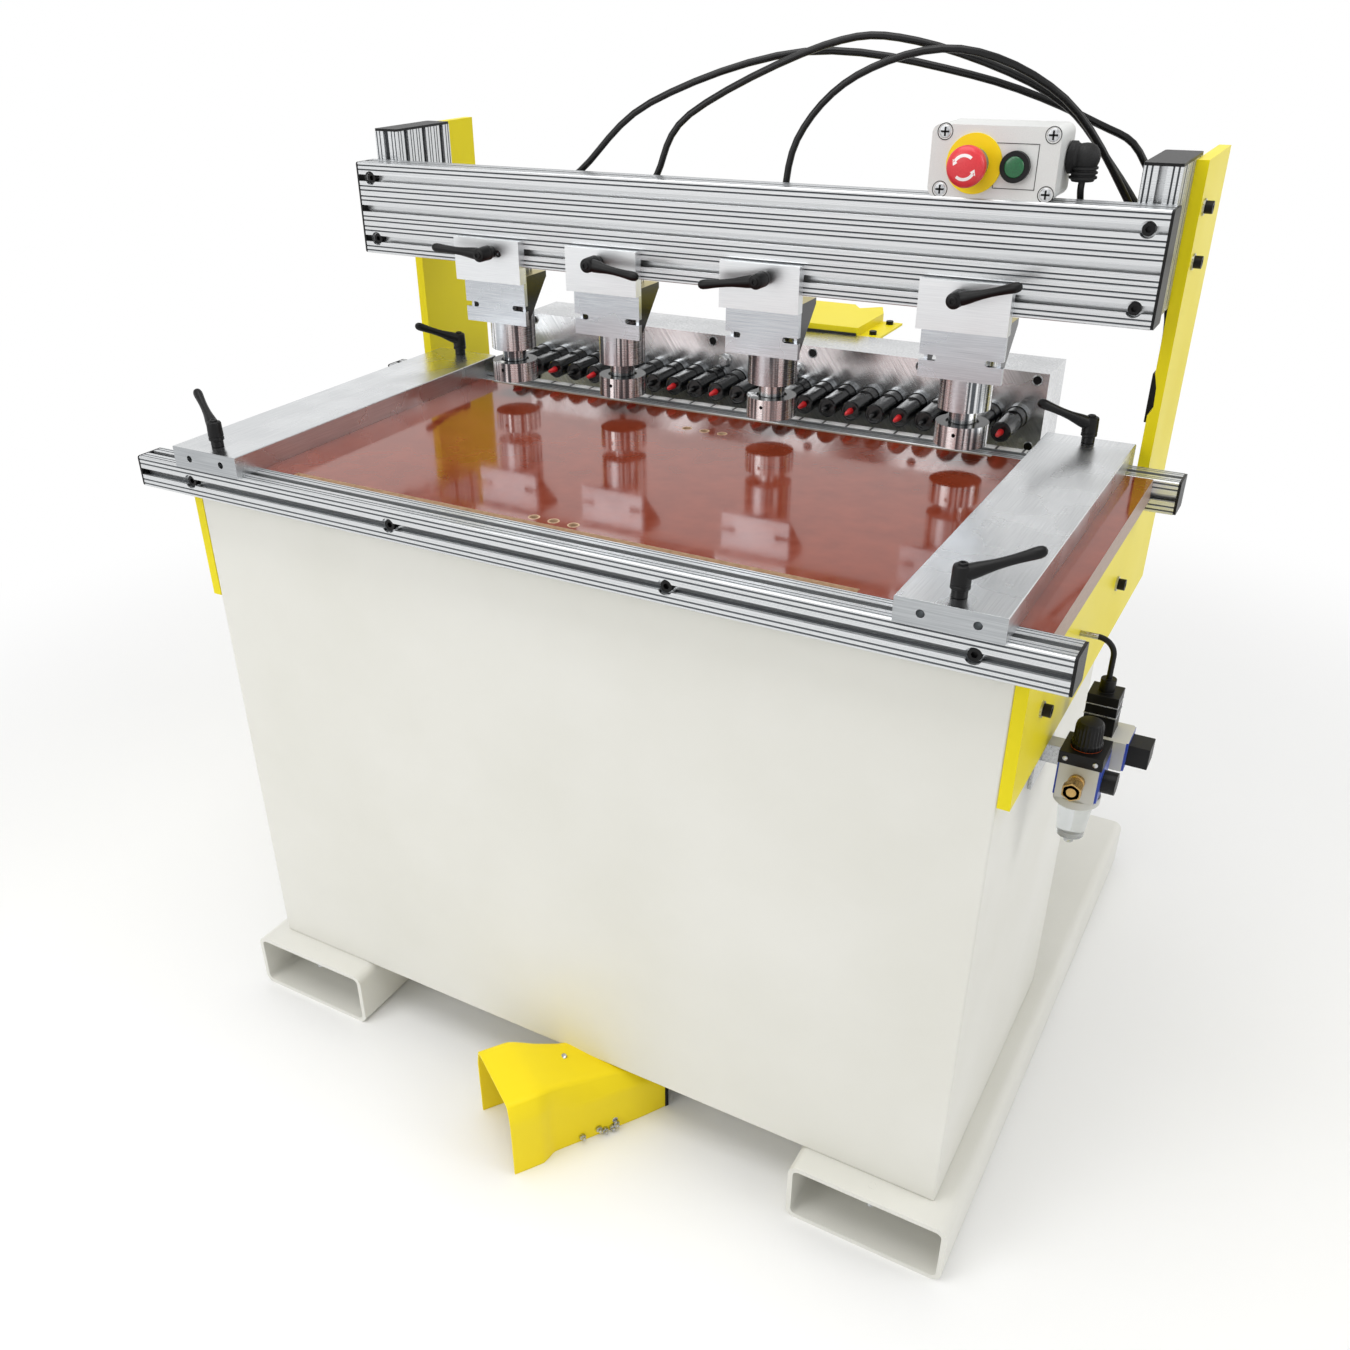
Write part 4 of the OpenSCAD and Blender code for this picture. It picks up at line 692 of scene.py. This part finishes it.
# Boring head: a long aluminium block on a carriage that runs on two rails. The gear train lies
# in the pocket under its rear cover. The milled face mirrors the chucks under slanting streaks,
# and the motor has a blue-grey coat.
head_face = milled_aluminium("milled_head", 0, 2.2, "#bcbec0", "#e4e5e6", (0.17, 0.32), (0, 0.95, 0))
dressed("boring_head", [head_face], 0.6)
dressed("slide_rails", [zinc], 0.5)
motor_paint = powder_coat("grey_motor_paint", "#7f868c", "#777e84", 0.35)
dressed("drive_motor", [motor_paint], 0.6)
head_body = body_of("boring_head")
HEAD_FRONT, HEAD_BACK, SPINDLE_Z = 587.0, 667.0, 859.8
BOLT_X, BOLT_Z, MOTOR_L = 54.0, 882.0, 143.0
FRONTWARD, BACKWARD = (0, -1, 0), (0, 1, 0)
screw_places = [(x, HEAD_FRONT, 906.0) for x in (-370, -222, -74, 74, 222, 370)]
screw_places += [(x, HEAD_FRONT, 823.0) for x in (-370, 370)]
socket_head = [(5.2, 0), (5.2, 0.5), (4.6, 1.0), (2.9, 1.0), (2.7, 0.2), (0, 0.2)]
counterbore = [(5.2, 0), (5.2, 0.6), (5.8, 0.9), (6.5, 0.6), (6.5, 0)]
turned_pieces("head_screws", socket_head, screw_places, FRONTWARD, 20, head_body, black_nylon)
turned_pieces("head_screw_rims", counterbore, screw_places, FRONTWARD, 24, head_body, zinc)
flange = [(9.4, 0), (9.4, 1.2), (8.6, 2.2), (7.4, 2.6)]
hexagon = [(7.6, 2.0), (7.6, 9.2), (6.6, 10.0)]
bolts = [turned(profile, (x, HEAD_FRONT, BOLT_Z), FRONTWARD, sides)
         for x in (-BOLT_X, BOLT_X) for profile, sides in ((flange, 28), (hexagon, 6))]
piece("head_bolts", bolts, head_body, zinc, bevel_mm=0.3)
cover_places = [(x, HEAD_BACK, z) for x in (-366, -250, -140, 140, 250, 366) for z in (812, 903)]
cap_screw = [(6.0, 0), (6.0, 5.4), (5.4, 6.0), (3.1, 6.0), (3.0, 3.0), (0, 3.0)]
turned_pieces("cover_screws", cap_screw, cover_places, BACKWARD, 24, head_body, black_nylon)
vents = [(49.6, -30), (49.6, -2), (47, 1.0)]
for r in (42, 36, 30, 24, 18):
    vents += [(r + 2, 1.0), (r + 1.6, -1.0), (r - 1.6, -1.0), (r - 2, 1.0)]
vents += [(10, 1.0), (0, 1.4)]
turned_pieces("fan_cover", vents, [(0, HEAD_BACK + MOTOR_L - 1, SPINDLE_Z)], BACKWARD, 48,
              body_of("drive_motor"), motor_paint)

# Head guard: a folded sheet in the side plates' yellow over the drive, screwed down on the right,
# with a black rubber lip under its front edge. Rubber is dull and a little grey from dust.
GUARD_SCREW_X, GUARD_SCREW_R, GUARD_FOOT_Z = 119.0, 6.5, 914.2
dressed("head_guard", [yellow_enamel, black_nylon], 0.5, [
    lambda x, y, z, n: (np.abs(x - GUARD_SCREW_X) < GUARD_SCREW_R) & (z > GUARD_FOOT_Z)])
black_rubber = grained("black_rubber", 1.5, 0.05, "#121213", (0.55, 0.75), Specular_IOR_Level=0.4)
LIP_LOW, LIP_HIGH = (-73, 664.6, 914.8), (103, 666.9, 917.8)
piece("guard_lip", [block(LIP_LOW, LIP_HIGH)], body_of("head_guard"), black_rubber,
      bevel_mm=0.5)

# Spindles: hardened chucks, blackened in hot oxide, with a bright set screw in a flat, a wider
# flange and a ground collar in front of the bearing. The slender bits alternate: red right-hand
# ones and dark left-hand ones.
NOSE_Y, SET_SCREW_Y, COLLAR_Y = 508.0, 554.0, 580.05
BIT_R, SET_SCREW_R, SET_SCREW_RISE = 4.6, 2.8, (5.5, 10.8)
# Hot oxide is a glossy black, ground collars keep fine bright rings, and the coating is satin.
black_oxide = grained("black_oxide_steel", 0.7, 0.01, ("#0a0b0c", "#131416"), (0.13, 0.22),
                      Specular_IOR_Level=0.4)
turned_steel = grained("turned_steel", 0.5, 0.01, ("#75787b", "#a9abad"), (0.14, 0.26),
                       (400.0, 400.0, 1.0), Metallic=1.0, Anisotropic=0.5)
red_paint = grained("red_bit_coating", 0.6, 0.01, "#dc2329", (0.3, 0.42))
# Places along a bit from its tip, and the share of its radius that is kept there
BIT_ALONG, BIT_SHARES = [495.0, 497.5, 498.0], [0.3, 0.5, 0.62]


def slender_bit(mid):
    """In front of the chuck the bit's radius is scaled by the share kept at its y."""
    def moved(p):
        far = (p[:, 1] < NOSE_Y) & (np.hypot(p[:, 0] - mid, p[:, 2] - SPINDLE_Z) < BIT_R)
        share = np.where(far, np.interp(p[:, 1], BIT_ALONG, BIT_SHARES), 1.0)
        centre = np.array([mid, 0, SPINDLE_Z])
        scale = np.stack([share, np.ones_like(share), share], -1)
        return centre + (p - centre) * scale
    return moved


for i in range(1, 24):
    mid = (i - 12) * PITCH
    bit_finish = red_paint if i % 2 else black_oxide
    dressed(f"spindle_{i:02d}", [black_oxide, bit_finish, turned_steel, zinc], 0.3, [
        lambda x, y, z, n: (y < NOSE_Y) & (np.hypot(x - mid, z - SPINDLE_Z) < BIT_R),
        lambda x, y, z, n: y > COLLAR_Y,
        lambda x, y, z, n: (np.hypot(x - mid, y - SET_SCREW_Y) < SET_SCREW_R)
        & span(z - SPINDLE_Z, *SET_SCREW_RISE)], reshaped=slender_bit(mid))

# Clamps: on each, a thick upper plate locked to the beam by its lever and a thinner lower plate
# that carries the air cylinder on a yellow-zinc shelf. Plates are brushed across, parts turned.
upper_plate = milled_aluminium("brushed_upper_plate", 0, 0.8, "#dcdee0", "#e9ebec", (0.3, 0.42))
# The lower plate is the upper plate's brushed finish painted darker grey: painted shade.
lower_plate_painted_shade = milled_aluminium("brushed_lower_clamp_plate_painted_shade", 0, 0.8, "#b4b8bd", "#d0d3d7", (0.2, 0.34))
# Yellow chromate is a soft gold that changes in patches.
yellow_zinc = grained("yellow_chromate_zinc", 9.0, 0.01, ("#b0a057", "#c8ba78"), (0.25, 0.4),
                      Metallic=1.0)
# Turned aluminium, with upright light and dark bands painted into its colour: a painted reflection of
# its surroundings.
aluminium_painted_reflection, tree, shader = new_finish("turned_aluminium_painted_reflection", Metallic=0.8, Anisotropic=0.4)
bands = speckle(tree, shader, 5.0, (1.0, 1.0, 60.0), 0.0, 1.0)
between(tree, shader, "Base Color", bands, "#5c6064", "#f4f5f6", 0.42, 0.58)
rings = speckle(tree, shader, 0.5, (400.0, 400.0, 1.0), 0.008)
between(tree, shader, "Roughness", rings, 0.2, 0.3)
LOWER_BACK, CYLINDER_Y, CYLINDER_REACH = 409.4, 439.4, 33.0
SHELF_LOW, SHELF_HIGH = 998.0, 1006.0
GUSSET_X, GUSSET_T = 41.5, 4.6
SCREW_Y, SCREW_Z = 393.2, 1036.45
PAD_TOP, FOOT_TOP = 868.2, 889.5
FOOT_BORE_R, ROD_RECESS_R, SCREW_HOLE_BACK = 29.0, 21.0, 20.0
plate_screw = [(4.2, 0), (4.2, 2.0), (3.6, 2.6), (2.4, 2.6), (2.2, 0.8), (0, 0.8)]
fitting_hexagon = [(7.6, -16), (7.6, -6), (7.0, -5.4)]
fitting_collar = [(6.4, -6), (6.4, 1.2), (5.6, 2.0), (4.2, 2.0), (4.2, 0.5)]
for i, (mid, screw_dx) in enumerate(zip(CLAMP_X, (19, -14, 11, -12)), start=1):
    # Lower plate in a darker painted shade, cylinder with painted reflection bands, shelf round the
    # cylinder, and the shelf's two dark gussets
    dressed(f"clamp_{i}", [upper_plate, lower_plate_painted_shade, aluminium_painted_reflection, yellow_zinc, black_oxide],
            0.4, [
        lambda x, y, z, n: (y > CLAMP_BEAM_Y - 0.1) & (z < CLAMP_BEAM_Z + 0.1),
        lambda x, y, z, n: y > LOWER_BACK + 1,
        lambda x, y, z, n: (y > LOWER_BACK + 0.2) & span(z, SHELF_LOW - 0.5, SHELF_HIGH + 0.5)
        & ((np.abs(n[2]) > FACING) | (np.hypot(x - mid, y - CYLINDER_Y) > CYLINDER_REACH)),
        lambda x, y, z, n: (y > LOWER_BACK + 0.2) & (z < SHELF_LOW - 0.5)
        & (np.abs(np.abs(x - mid) - GUSSET_X) < GUSSET_T / 2)])
    turned_pieces(f"clamp_screw_{i}", plate_screw, [(mid + screw_dx, SCREW_Y, SCREW_Z)],
                  FRONTWARD, 24, f"clamp_{i}", turned_steel)
    fitting = (mid, FITTING_Y, FITTING_Z)
    piece(f"clamp_fitting_{i}", [turned(fitting_hexagon, fitting, sides=6),
                                 turned(fitting_collar, fitting, sides=24)],
          f"clamp_{i}", black_nylon)
    # The pad, and the walls of the rod's recess and of the set screw's hole, darkened with black oxide
    # as painted shade
    dressed(f"clamp_foot_{i}", [aluminium_painted_reflection, black_rubber, black_oxide],
            0.5, [
        lambda x, y, z, n: z < PAD_TOP,
        lambda x, y, z, n: span(z, PAD_TOP, FOOT_TOP + 1) & (y < CYLINDER_Y + SCREW_HOLE_BACK)
        & (np.hypot(x - mid, y - CYLINDER_Y) < np.where(z < FOOT_TOP, FOOT_BORE_R, ROD_RECESS_R))])

# Control box: a moulded polycarbonate case on the beam, with a lid held by four cross screws, a
# red mushroom on a plain yellow disc, a green push button in a black bezel and a cable elbow.
# Moulded plastics are even in colour, with a fine texture that softens what they mirror.
box_plastic = grained("light_grey_polycarbonate", 0.9, 0.02, ("#d3d4d2", "#dcdddb"), (0.36, 0.48))
signal_yellow = grained("signal_yellow_disc", 1.0, 0.005, "#f8dc18", (0.35, 0.45),
                        Specular_IOR_Level=0.3)
signal_red = grained("signal_red_plastic", 1.5, 0.005, ("#d42f38", "#dc3a42"), (0.28, 0.36))
lens_green = grained("green_lens", 1.5, 0.005, ("#06512c", "#0b6b39"), 0.25, Coat_Weight=0.2)
white_print = grained("white_print", 0.8, 0.005, "#f3ecea", (0.4, 0.5))
BOX_FRONT, BOX_RIGHT = 405.0, 400.1
STOP_X, STOP_Z, STOP_DISC_R = 315.0, 1166.7, 30.0
START_X, START_Z, BEZEL_R = 358.0, 1165.7, 15.5
dressed("control_box", [box_plastic, signal_yellow, black_nylon], 0.6, [
    lambda x, y, z, n: (y < BOX_FRONT - 0.1) & (np.hypot(x - STOP_X, z - STOP_Z) < STOP_DISC_R),
    lambda x, y, z, n: ((y < BOX_FRONT - 0.1) & (np.hypot(x - START_X, z - START_Z) < BEZEL_R))
    | (x > BOX_RIGHT)])
lid_places = [(x, BOX_FRONT, z) for x in (281.5, 391.5) for z in (1140.7, 1195.7)]
lid_rim = [(7.4, 0.5), (8.3, 0.5), (8.2, -0.3), (7.5, -0.3), (7.4, 0.5)]
lid_screw = [(6.6, 1.9), (6.6, 0.3), (5.8, -0.4), (0, -0.9)]
SLOT = (4.4, 0.95)
turned_pieces("lid_screw_rims", lid_rim, lid_places, BACKWARD, 32, "root", black_nylon,
              ends=False)
turned_pieces("lid_screws", lid_screw, lid_places, BACKWARD, 28, "root", zinc)
piece("lid_screw_slots", [block((x - a, y - 1.0, z - b), (x + a, y + 0.4, z + b))
                          for x, y, z in lid_places for a, b in (SLOT, SLOT[::-1])],
      "root", black_nylon)
# The bezel's thin square frame, whose left side stops short: low and high x, low and high z
frame_sides = [(-21.5, 21.5, -21.5, -20.9), (-21.5, 21.5, 20.9, 21.5), (20.9, 21.5, -21, 21),
               (-21.5, -20.9, -21, -16)]
piece("start_frame", [block((START_X + x0, BOX_FRONT - 0.35, START_Z + z0),
                            (START_X + x1, BOX_FRONT, START_Z + z1)) for x0, x1, z0, z1 in frame_sides],
      "root", black_nylon)
collar = [(11.3, 0), (15.4, 0), (15.4, 5.2), (14.6, 6.0), (11.3, 6.0), (11.3, 0)]
turned_pieces("stop_collar", collar, [(STOP_X, BOX_FRONT - 1.6, STOP_Z)], FRONTWARD, 40, "root",
              motor_paint, ends=False)
DOME = [(11, -16), (11, 0), (14.6, 0.2), (16.6, 2.6), (18.6, 6), (19.8, 9.4), (20, 12), (20, 15.2),
        (19.4, 17.3), (17.9, 19.2), (15.5, 20.6), (12, 21.6), (7, 22.3), (0, 22.5)]
DOME_Y = 392.0
stop_body = body_of("estop_button")
mushroom = turned_pieces("stop_mushroom", [(0, -16)] + DOME, [(STOP_X, DOME_Y, STOP_Z)], FRONTWARD,
                         56, stop_body, signal_red)
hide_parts("estop_button")
ARROW_R, ARROW_HALF, HEAD_HALF, POINT_HALF = 11.2, 1.5, 3.2, 0.15
ARROW_TURN, HEAD_TURN, PROUD, SUNK = 1.7, 0.42, 0.18, 0.3


def turning_arrow(start, steps=18):
    """A band on the dome from an angle on, 3 mm wide, that ends in a pointed head: four corners
    carried round the axis, each lifted onto the dome's height at its radius."""
    end = start + ARROW_TURN
    angle = np.concatenate([np.linspace(start, end, steps), [end, end + HEAD_TURN]])
    half = np.concatenate([np.full(steps, ARROW_HALF), [HEAD_HALF, POINT_HALF]])
    radius = ARROW_R + half[:, None] * np.array([-1, 1, 1, -1])
    dome_r, dome_h = np.array(DOME[:6:-1]).T
    lift = np.interp(radius, dome_r, dome_h) + np.array([PROUD, PROUD, -SUNK, -SUNK])
    turn = angle[:, None]
    points = np.stack([STOP_X + radius * np.cos(turn), DOME_Y - lift,
                       STOP_Z + radius * np.sin(turn)], -1)
    return points.reshape(-1, 3), grid_faces(len(angle), 4) + closed_ends(len(angle), 4)


piece("stop_arrows", [turning_arrow(a) for a in (0.9, 0.9 + np.pi)], stop_body, white_print)
lens_profile = [(0, -20), (8, -20), (8, 0), (9.8, 0.1), (10, 0.5), (10, 3.4), (9.4, 4.1), (7.8, 4.4),
                (4, 4.7), (0, 4.8)]
lens = turned_pieces("start_lens", lens_profile, [(START_X, BOX_FRONT - 3, START_Z)], FRONTWARD, 40,
                     body_of("start_button"), lens_green)
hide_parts("start_button")
ribs = [(11, -2)]
for h in (0, 4.6, 9.2):
    ribs += [(12.2, h), (14, h + 0.8), (14, h + 2.6), (12.2, h + 3.4)]
knee = [(12.2, -8), (13.8, -4), (14.4, 0), (13.8, 4.4), (12, 8.4), (9.2, 11.4), (5.4, 13.4), (0, 14.2)]
gland = [(9, -2), (15.6, -1.4), (15.6, 4.4), (14.2, 5.2), (12.6, 9)]
piece("elbow_ribs", [turned(ribs, ELBOW - [0, 0, ELBOW_DROP + 0.2], sides=28),
                     turned(knee, ELBOW, sides=28), turned(gland, ELBOW - [14.4, 0, 0], (1, 0, 0), 28)],
      "root", black_rubber)

# Air unit: a filter regulator with a clear bowl and a solenoid valve, on a bent bracket behind the
# right plate. Die-cast bodies in silver paint with blue side covers, brass outlet, black plastics.
# Turned brass keeps fine rings, and the moulded bowl is clear with a faint cloudiness.
silver_paint = powder_coat("silver_grey_casting", "#c9c8c1", "#bbbab3", 0.32)
blue_cover = grained("blue_side_cover", 1.2, 0.01, ("#1d3c9c", "#2547ac"), (0.3, 0.42))
brass = grained("turned_brass", 0.5, 0.008, ("#a9834a", "#cdae74"), (0.2, 0.34), (1.0, 300.0, 1.0),
                Metallic=1.0)
clear_bowl = grained("clear_polycarbonate_bowl", 8.0, 0.01, ("#e4e8e9", "#f1f4f4"), (0.03, 0.1),
                     Transmission_Weight=0.8, IOR=1.58)
orange_ring = grained("orange_lock_ring", 0.8, 0.005, "#d8571c", (0.35, 0.45))
UNIT_X, UNIT_Y, UNIT_Z, UNIT_TOP = 562.0, 185.0, 600.0, 642.0
OUTLET_Z, BOWL_END_Z = 624.0, 552.0
PLATE_SIDE, BODY_SIDES, BODY_RIGHT, VALVE_SIDE = 530.0, (541.0, 583.0), 584.1, 595.0
BODY_FRONT, BODY_BACK, BRACKET_Y, MANIFOLD_FRONT = 164.6, 205.0, (176.0, 262.0), 580.0
COVER_T, COVER_Y, VALVE_COVER_Y, VALVE_COVER_Z = 2.4, (165.0, 204.0), 232.0, 607.9


def black_parts(x, y, z, n):
    """The manifold far behind, collar, coil and plug above the bodies, and the side knobs right
    of them, but not the valve's side cover."""
    above = (z > UNIT_TOP + 0.1) & (x > PLATE_SIDE)
    cover = span(x, VALVE_SIDE - 0.9, VALVE_SIDE + 1.1) & (y > VALVE_COVER_Y - 2)
    return ((y > MANIFOLD_FRONT) | above | (x > BODY_RIGHT)) & ~cover


def side_covers(x, y, z, n):
    """The thin covers on both sides of the regulator's body and on the valve's right side."""
    on_body = np.minimum(np.abs(x - BODY_SIDES[0]), np.abs(x - BODY_SIDES[1])) < COVER_T / 2
    on_valve = (np.abs(x - VALVE_SIDE) < COVER_T / 2) & (y > VALVE_COVER_Y)
    return (on_body & span(y, *COVER_Y) & span(z, UNIT_Z + 1, UNIT_TOP - 0.5)
            | on_valve & span(z, VALVE_COVER_Z, UNIT_TOP - 0.1))


dressed("air_unit", [silver_paint, black_nylon, blue_cover, brass, clear_bowl, zinc],
        0.6, [
    black_parts, side_covers,
    lambda x, y, z, n: (y < BODY_FRONT) & (z < UNIT_TOP - 1),
    lambda x, y, z, n: (z < UNIT_Z - 0.1) & (y < BODY_BACK + 1) & (x > BODY_SIDES[0] - 1),
    lambda x, y, z, n: (x < BODY_SIDES[0] + 0.9) & span(y, *BRACKET_Y)
    & ((y > BODY_BACK) | (x < PLATE_SIDE))])
cap = [(0, -1, 0), (9, -1, 0), (9, 14.4, 0), (15.6, 14.5, 0), (16, 15, 0.8), (16, 19.6, 0.8),
       (14.8, 20.6, 0.4), (14.4, 22, 0.9), (14.2, 36, 0.9), (13.9, 38, 0.6), (13.2, 41, 0.3),
       (11.4, 43, 0), (7.4, 43.9, 0), (0, 44, 0)]
knob = piece("regulator_cap", [turned(cap, (UNIT_X, UNIT_Y, UNIT_TOP), sides=96, grooves=24)],
             body_of("regulator_knob"), black_nylon)
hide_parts("regulator_knob")
collar_screw = [(2.6, 0), (2.6, 1.0), (1.6, 1.6), (0, 1.6)]
collar_places = [(UNIT_X + dx, UNIT_Y - 22, UNIT_TOP + 7) for dx in (-15, 15)]
turned_pieces("collar_screws", collar_screw, collar_places, FRONTWARD, 16, "root", zinc)
lock_ring = [(9.3, 0.05), (15.2, 0.05), (15.6, 0.3), (15.6, 1.1), (9.3, 1.1), (9.3, 0.05)]
turned_pieces("lock_ring", lock_ring, [(UNIT_X, UNIT_Y, UNIT_TOP + 13.2)], (0, 0, 1), 40, "root",
              orange_ring, ends=False)
outlet_nut = [(9.2, 0), (10.6, 0.5), (10.6, 8.5), (9.2, 9)]
barb = [(7, 0), (8.4, 0.4), (8.4, 4), (7.4, 4.6), (7.4, 8), (8.6, 8.6), (8.6, 11), (7, 11.6)]
piece("outlet_fitting", [turned(outlet_nut, (UNIT_X, UNIT_Y - 35, OUTLET_Z), FRONTWARD, 6),
                         turned(barb, (UNIT_X, UNIT_Y - 20, OUTLET_Z), FRONTWARD, 28)],
      "root", brass)
bowl_ring = [(19.5, 0), (23, 0), (23.6, -1), (23.6, -8), (22.6, -9.2), (19.8, -9.6), (19.5, 0)]
drain = [(6.4, 0), (6.4, -7), (5.4, -8)]
piece("bowl_guard", [turned(bowl_ring, (UNIT_X, UNIT_Y, UNIT_Z), sides=40, ends=False),
                     turned(drain, (UNIT_X, UNIT_Y, BOWL_END_Z), sides=24)],
      "root", silver_paint)
# Half width, half depth, lower edge and height of the coil's two bands
COIL_X, COIL_Y, coil_bands = 562.0, 252.0, ((16.6, 15.6, 664, 1.6), (16.4, 15.4, 676, 1.2))
piece("coil_band", [block((COIL_X - a, COIL_Y - b, z), (COIL_X + a, COIL_Y + b, z + t))
                    for a, b, z, t in coil_bands], "root", zinc, bevel_mm=0.3)

# Foot pedal: a cast hood painted a warmer yellow, wide and high at its mouth and lower behind,
# over a rubber-faced treadle on a cross pin, with a black end cap and hose entry, zinc nuts
# along its lower edge and one rivet on top.
PEDAL_X, PEDAL_Y, PEDAL_TURN, PEDAL_L = -40.0, -81.0, np.radians(56), 232.0
along = np.array([np.cos(PEDAL_TURN), np.sin(PEDAL_TURN), 0])
aside = np.array([-np.sin(PEDAL_TURN), np.cos(PEDAL_TURN), 0])


def on_pedal(u, w, z):
    """A place that far along the pedal, across it and above the floor."""
    return np.array([PEDAL_X, PEDAL_Y, z]) + u * along + w * aside


# Places along the hood, and there its half width, half top width, height and shoulder height.
HOOD_ALONG = [0, 20, 41, 50, 60, 74, 92, 108, 140, 168, 192, 214, 228, 232]
HOOD_HALF = [62, 62, 61.5, 57, 50.8, 50.2, 50.2, 50.2, 50, 49.6, 49, 47.5, 46.5, 44.5]
HOOD_TOP = [54, 54, 53.5, 51.5, 49, 45, 42, 39.5, 37, 35.6, 34.7, 33.5, 32.5, 30]
HOOD_HEIGHT = [118, 118, 118, 116.5, 113.5, 108.5, 102.5, 97.5, 90.5, 85.5, 81.4, 70, 61, 57]
HOOD_SHOULDER = [89.7, 89.7, 89.5, 85, 80.5, 75, 70, 66.5, 65.5, 64.6, 63.7, 54.5, 47, 44]
WALL, ROUNDING = 3.0, 0.13
# The base plate's two ends, each as its place along the pedal and its half width
BASE_ENDS = ((84.0, 46.0), (228.0, 44.0))
PIN_ALONG, PIN_Z, PIN_R = 150, 16, 4.3
NUT_SIDE = -50.4


def hood_ring(u, half, top, height, shoulder, inside=0.0, steps=5):
    """The hood's section from one foot over to the other, at places along it: straight between
    six corners, whose four upper ones are rounded by a quadratic curve that starts and ends an
    eighth of the way to the next corner."""
    half, top = half - inside, top - 0.5 * inside
    height, shoulder = height - inside, shoulder - 0.5 * inside
    corners = np.stack([np.stack(pair, -1) for pair in (
        (-half, 0 * half), (-half, shoulder), (-top, height), (top, height), (half, shoulder),
        (half, 0 * half))], 1)
    before = corners[:, 1:-1] + ROUNDING * (corners[:, :-2] - corners[:, 1:-1])
    after = corners[:, 1:-1] + ROUNDING * (corners[:, 2:] - corners[:, 1:-1])
    t = np.linspace(0, 1, steps)[:, None]
    round_ones = ((1 - t) ** 2 * before[:, :, None] + 2 * t * (1 - t) * corners[:, 1:-1, None]
                  + t ** 2 * after[:, :, None]).reshape(len(half), -1, 2)
    section = np.concatenate([corners[:, :1], round_ones, corners[:, -1:]], 1)
    flat = np.concatenate([section, np.zeros((*section.shape[:2], 1))], -1)
    return (np.array([PEDAL_X, PEDAL_Y, 0]) + np.asarray(u)[:, None, None] * along
            + flat[..., :1] * aside + flat[..., 1:2] * np.array([0, 0, 1.0]))


def hood_sizes(u, grow):
    """Half width, half top width, height and shoulder height at those places along the hood."""
    return [np.interp(u, HOOD_ALONG, table) + grow
            for table in (HOOD_HALF, HOOD_TOP, HOOD_HEIGHT, HOOD_SHOULDER)]


def hood_walls(low, high, count=56):
    """The hood between two places along it: the tables above are read evenly, and each row runs
    over the outer section and back along the inner one, so that its feet are closed."""
    u = np.linspace(low, high, count)
    outer = hood_ring(u, *hood_sizes(u, 0.0))
    inner = hood_ring(u, *hood_sizes(u, 0.0), inside=WALL)
    rows = np.concatenate([outer, inner[:, ::-1]], 1)
    across, j = rows.shape[1], np.arange(outer.shape[1] - 1)
    rim = np.stack([j, j + 1, across - 2 - j, across - 1 - j], -1)
    last = (count - 1) * across
    return rows.reshape(-1, 3), grid_faces(count, across) + rim.tolist() + (last + rim).tolist()


def hood_plate(u, thickness, grow):
    """A flat plate across the hood, that thick along it and larger all round by what it grows."""
    rows = hood_ring([u, u + thickness], *hood_sizes([u, u], grow))
    return rows.reshape(-1, 3), grid_faces(2, rows.shape[1]) + closed_ends(2, rows.shape[1])


pedal_enamel = powder_coat("pedal_yellow_enamel", "#fbe21a", "#f5da12", 0.34, 0.25)
base = np.array([on_pedal(u, side * half, z) for z in (0.2, 3.0)
                 for side, ends in ((-1, BASE_ENDS), (1, BASE_ENDS[::-1])) for u, half in ends])
hood = piece("pedal_hood", [hood_walls(0, PEDAL_L - 4), (base, block((0, 0, 0), (1, 1, 1))[1])],
             "root", pedal_enamel, smooth=40, bevel_mm=0.9)
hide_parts("pedal_guard")
piece("pedal_end_cap", [hood_plate(PEDAL_L - 5, 5.6, 0.5)], "root", black_nylon,
      smooth=40, bevel_mm=0.8)
ENTRY_INSET, ENTRY_Z = 47, 77
entry = turned([(8, 0), (8, 9), (6.8, 10), (6.8, 27.5)],
               on_pedal(PEDAL_L - ENTRY_INSET, 0, ENTRY_Z), ends=False)
piece("pedal_hose_entry", [entry], "root", black_nylon)
pin_place = on_pedal(PIN_ALONG, 0, PIN_Z)
dressed("pedal_treadle", [black_rubber, zinc], 0.8, [
    lambda x, y, z, n: np.hypot((x - pin_place[0]) * along[0] + (y - pin_place[1]) * along[1],
                                z - PIN_Z) < PIN_R])
nut = [(4.6, 0), (4.6, 3.4), (3.9, 4.1)]
tip = [(2.5, 3), (2.5, 7.0), (1.9, 7.8)]
nut_places = [(101, 9.5), (125, 12.5), (134, 6), (145, 6), (150.5, 11)]
piece("pedal_nuts", [turned(profile, on_pedal(u, NUT_SIDE, z), -aside, sides)
                     for u, z in nut_places for profile, sides in ((nut, 6), (tip, 16))],
      "root", zinc)
rivet = [(4.6, -2), (4.4, 0.4), (3.2, 1.1), (0, 1.5)]
RIVET_PLACE, RIVET_AXIS = (104.3, 11, 98.9), (-0.28, -0.42, 1)
piece("pedal_rivet", [turned(rivet, on_pedal(*RIVET_PLACE), RIVET_AXIS, 20)], "root", zinc)
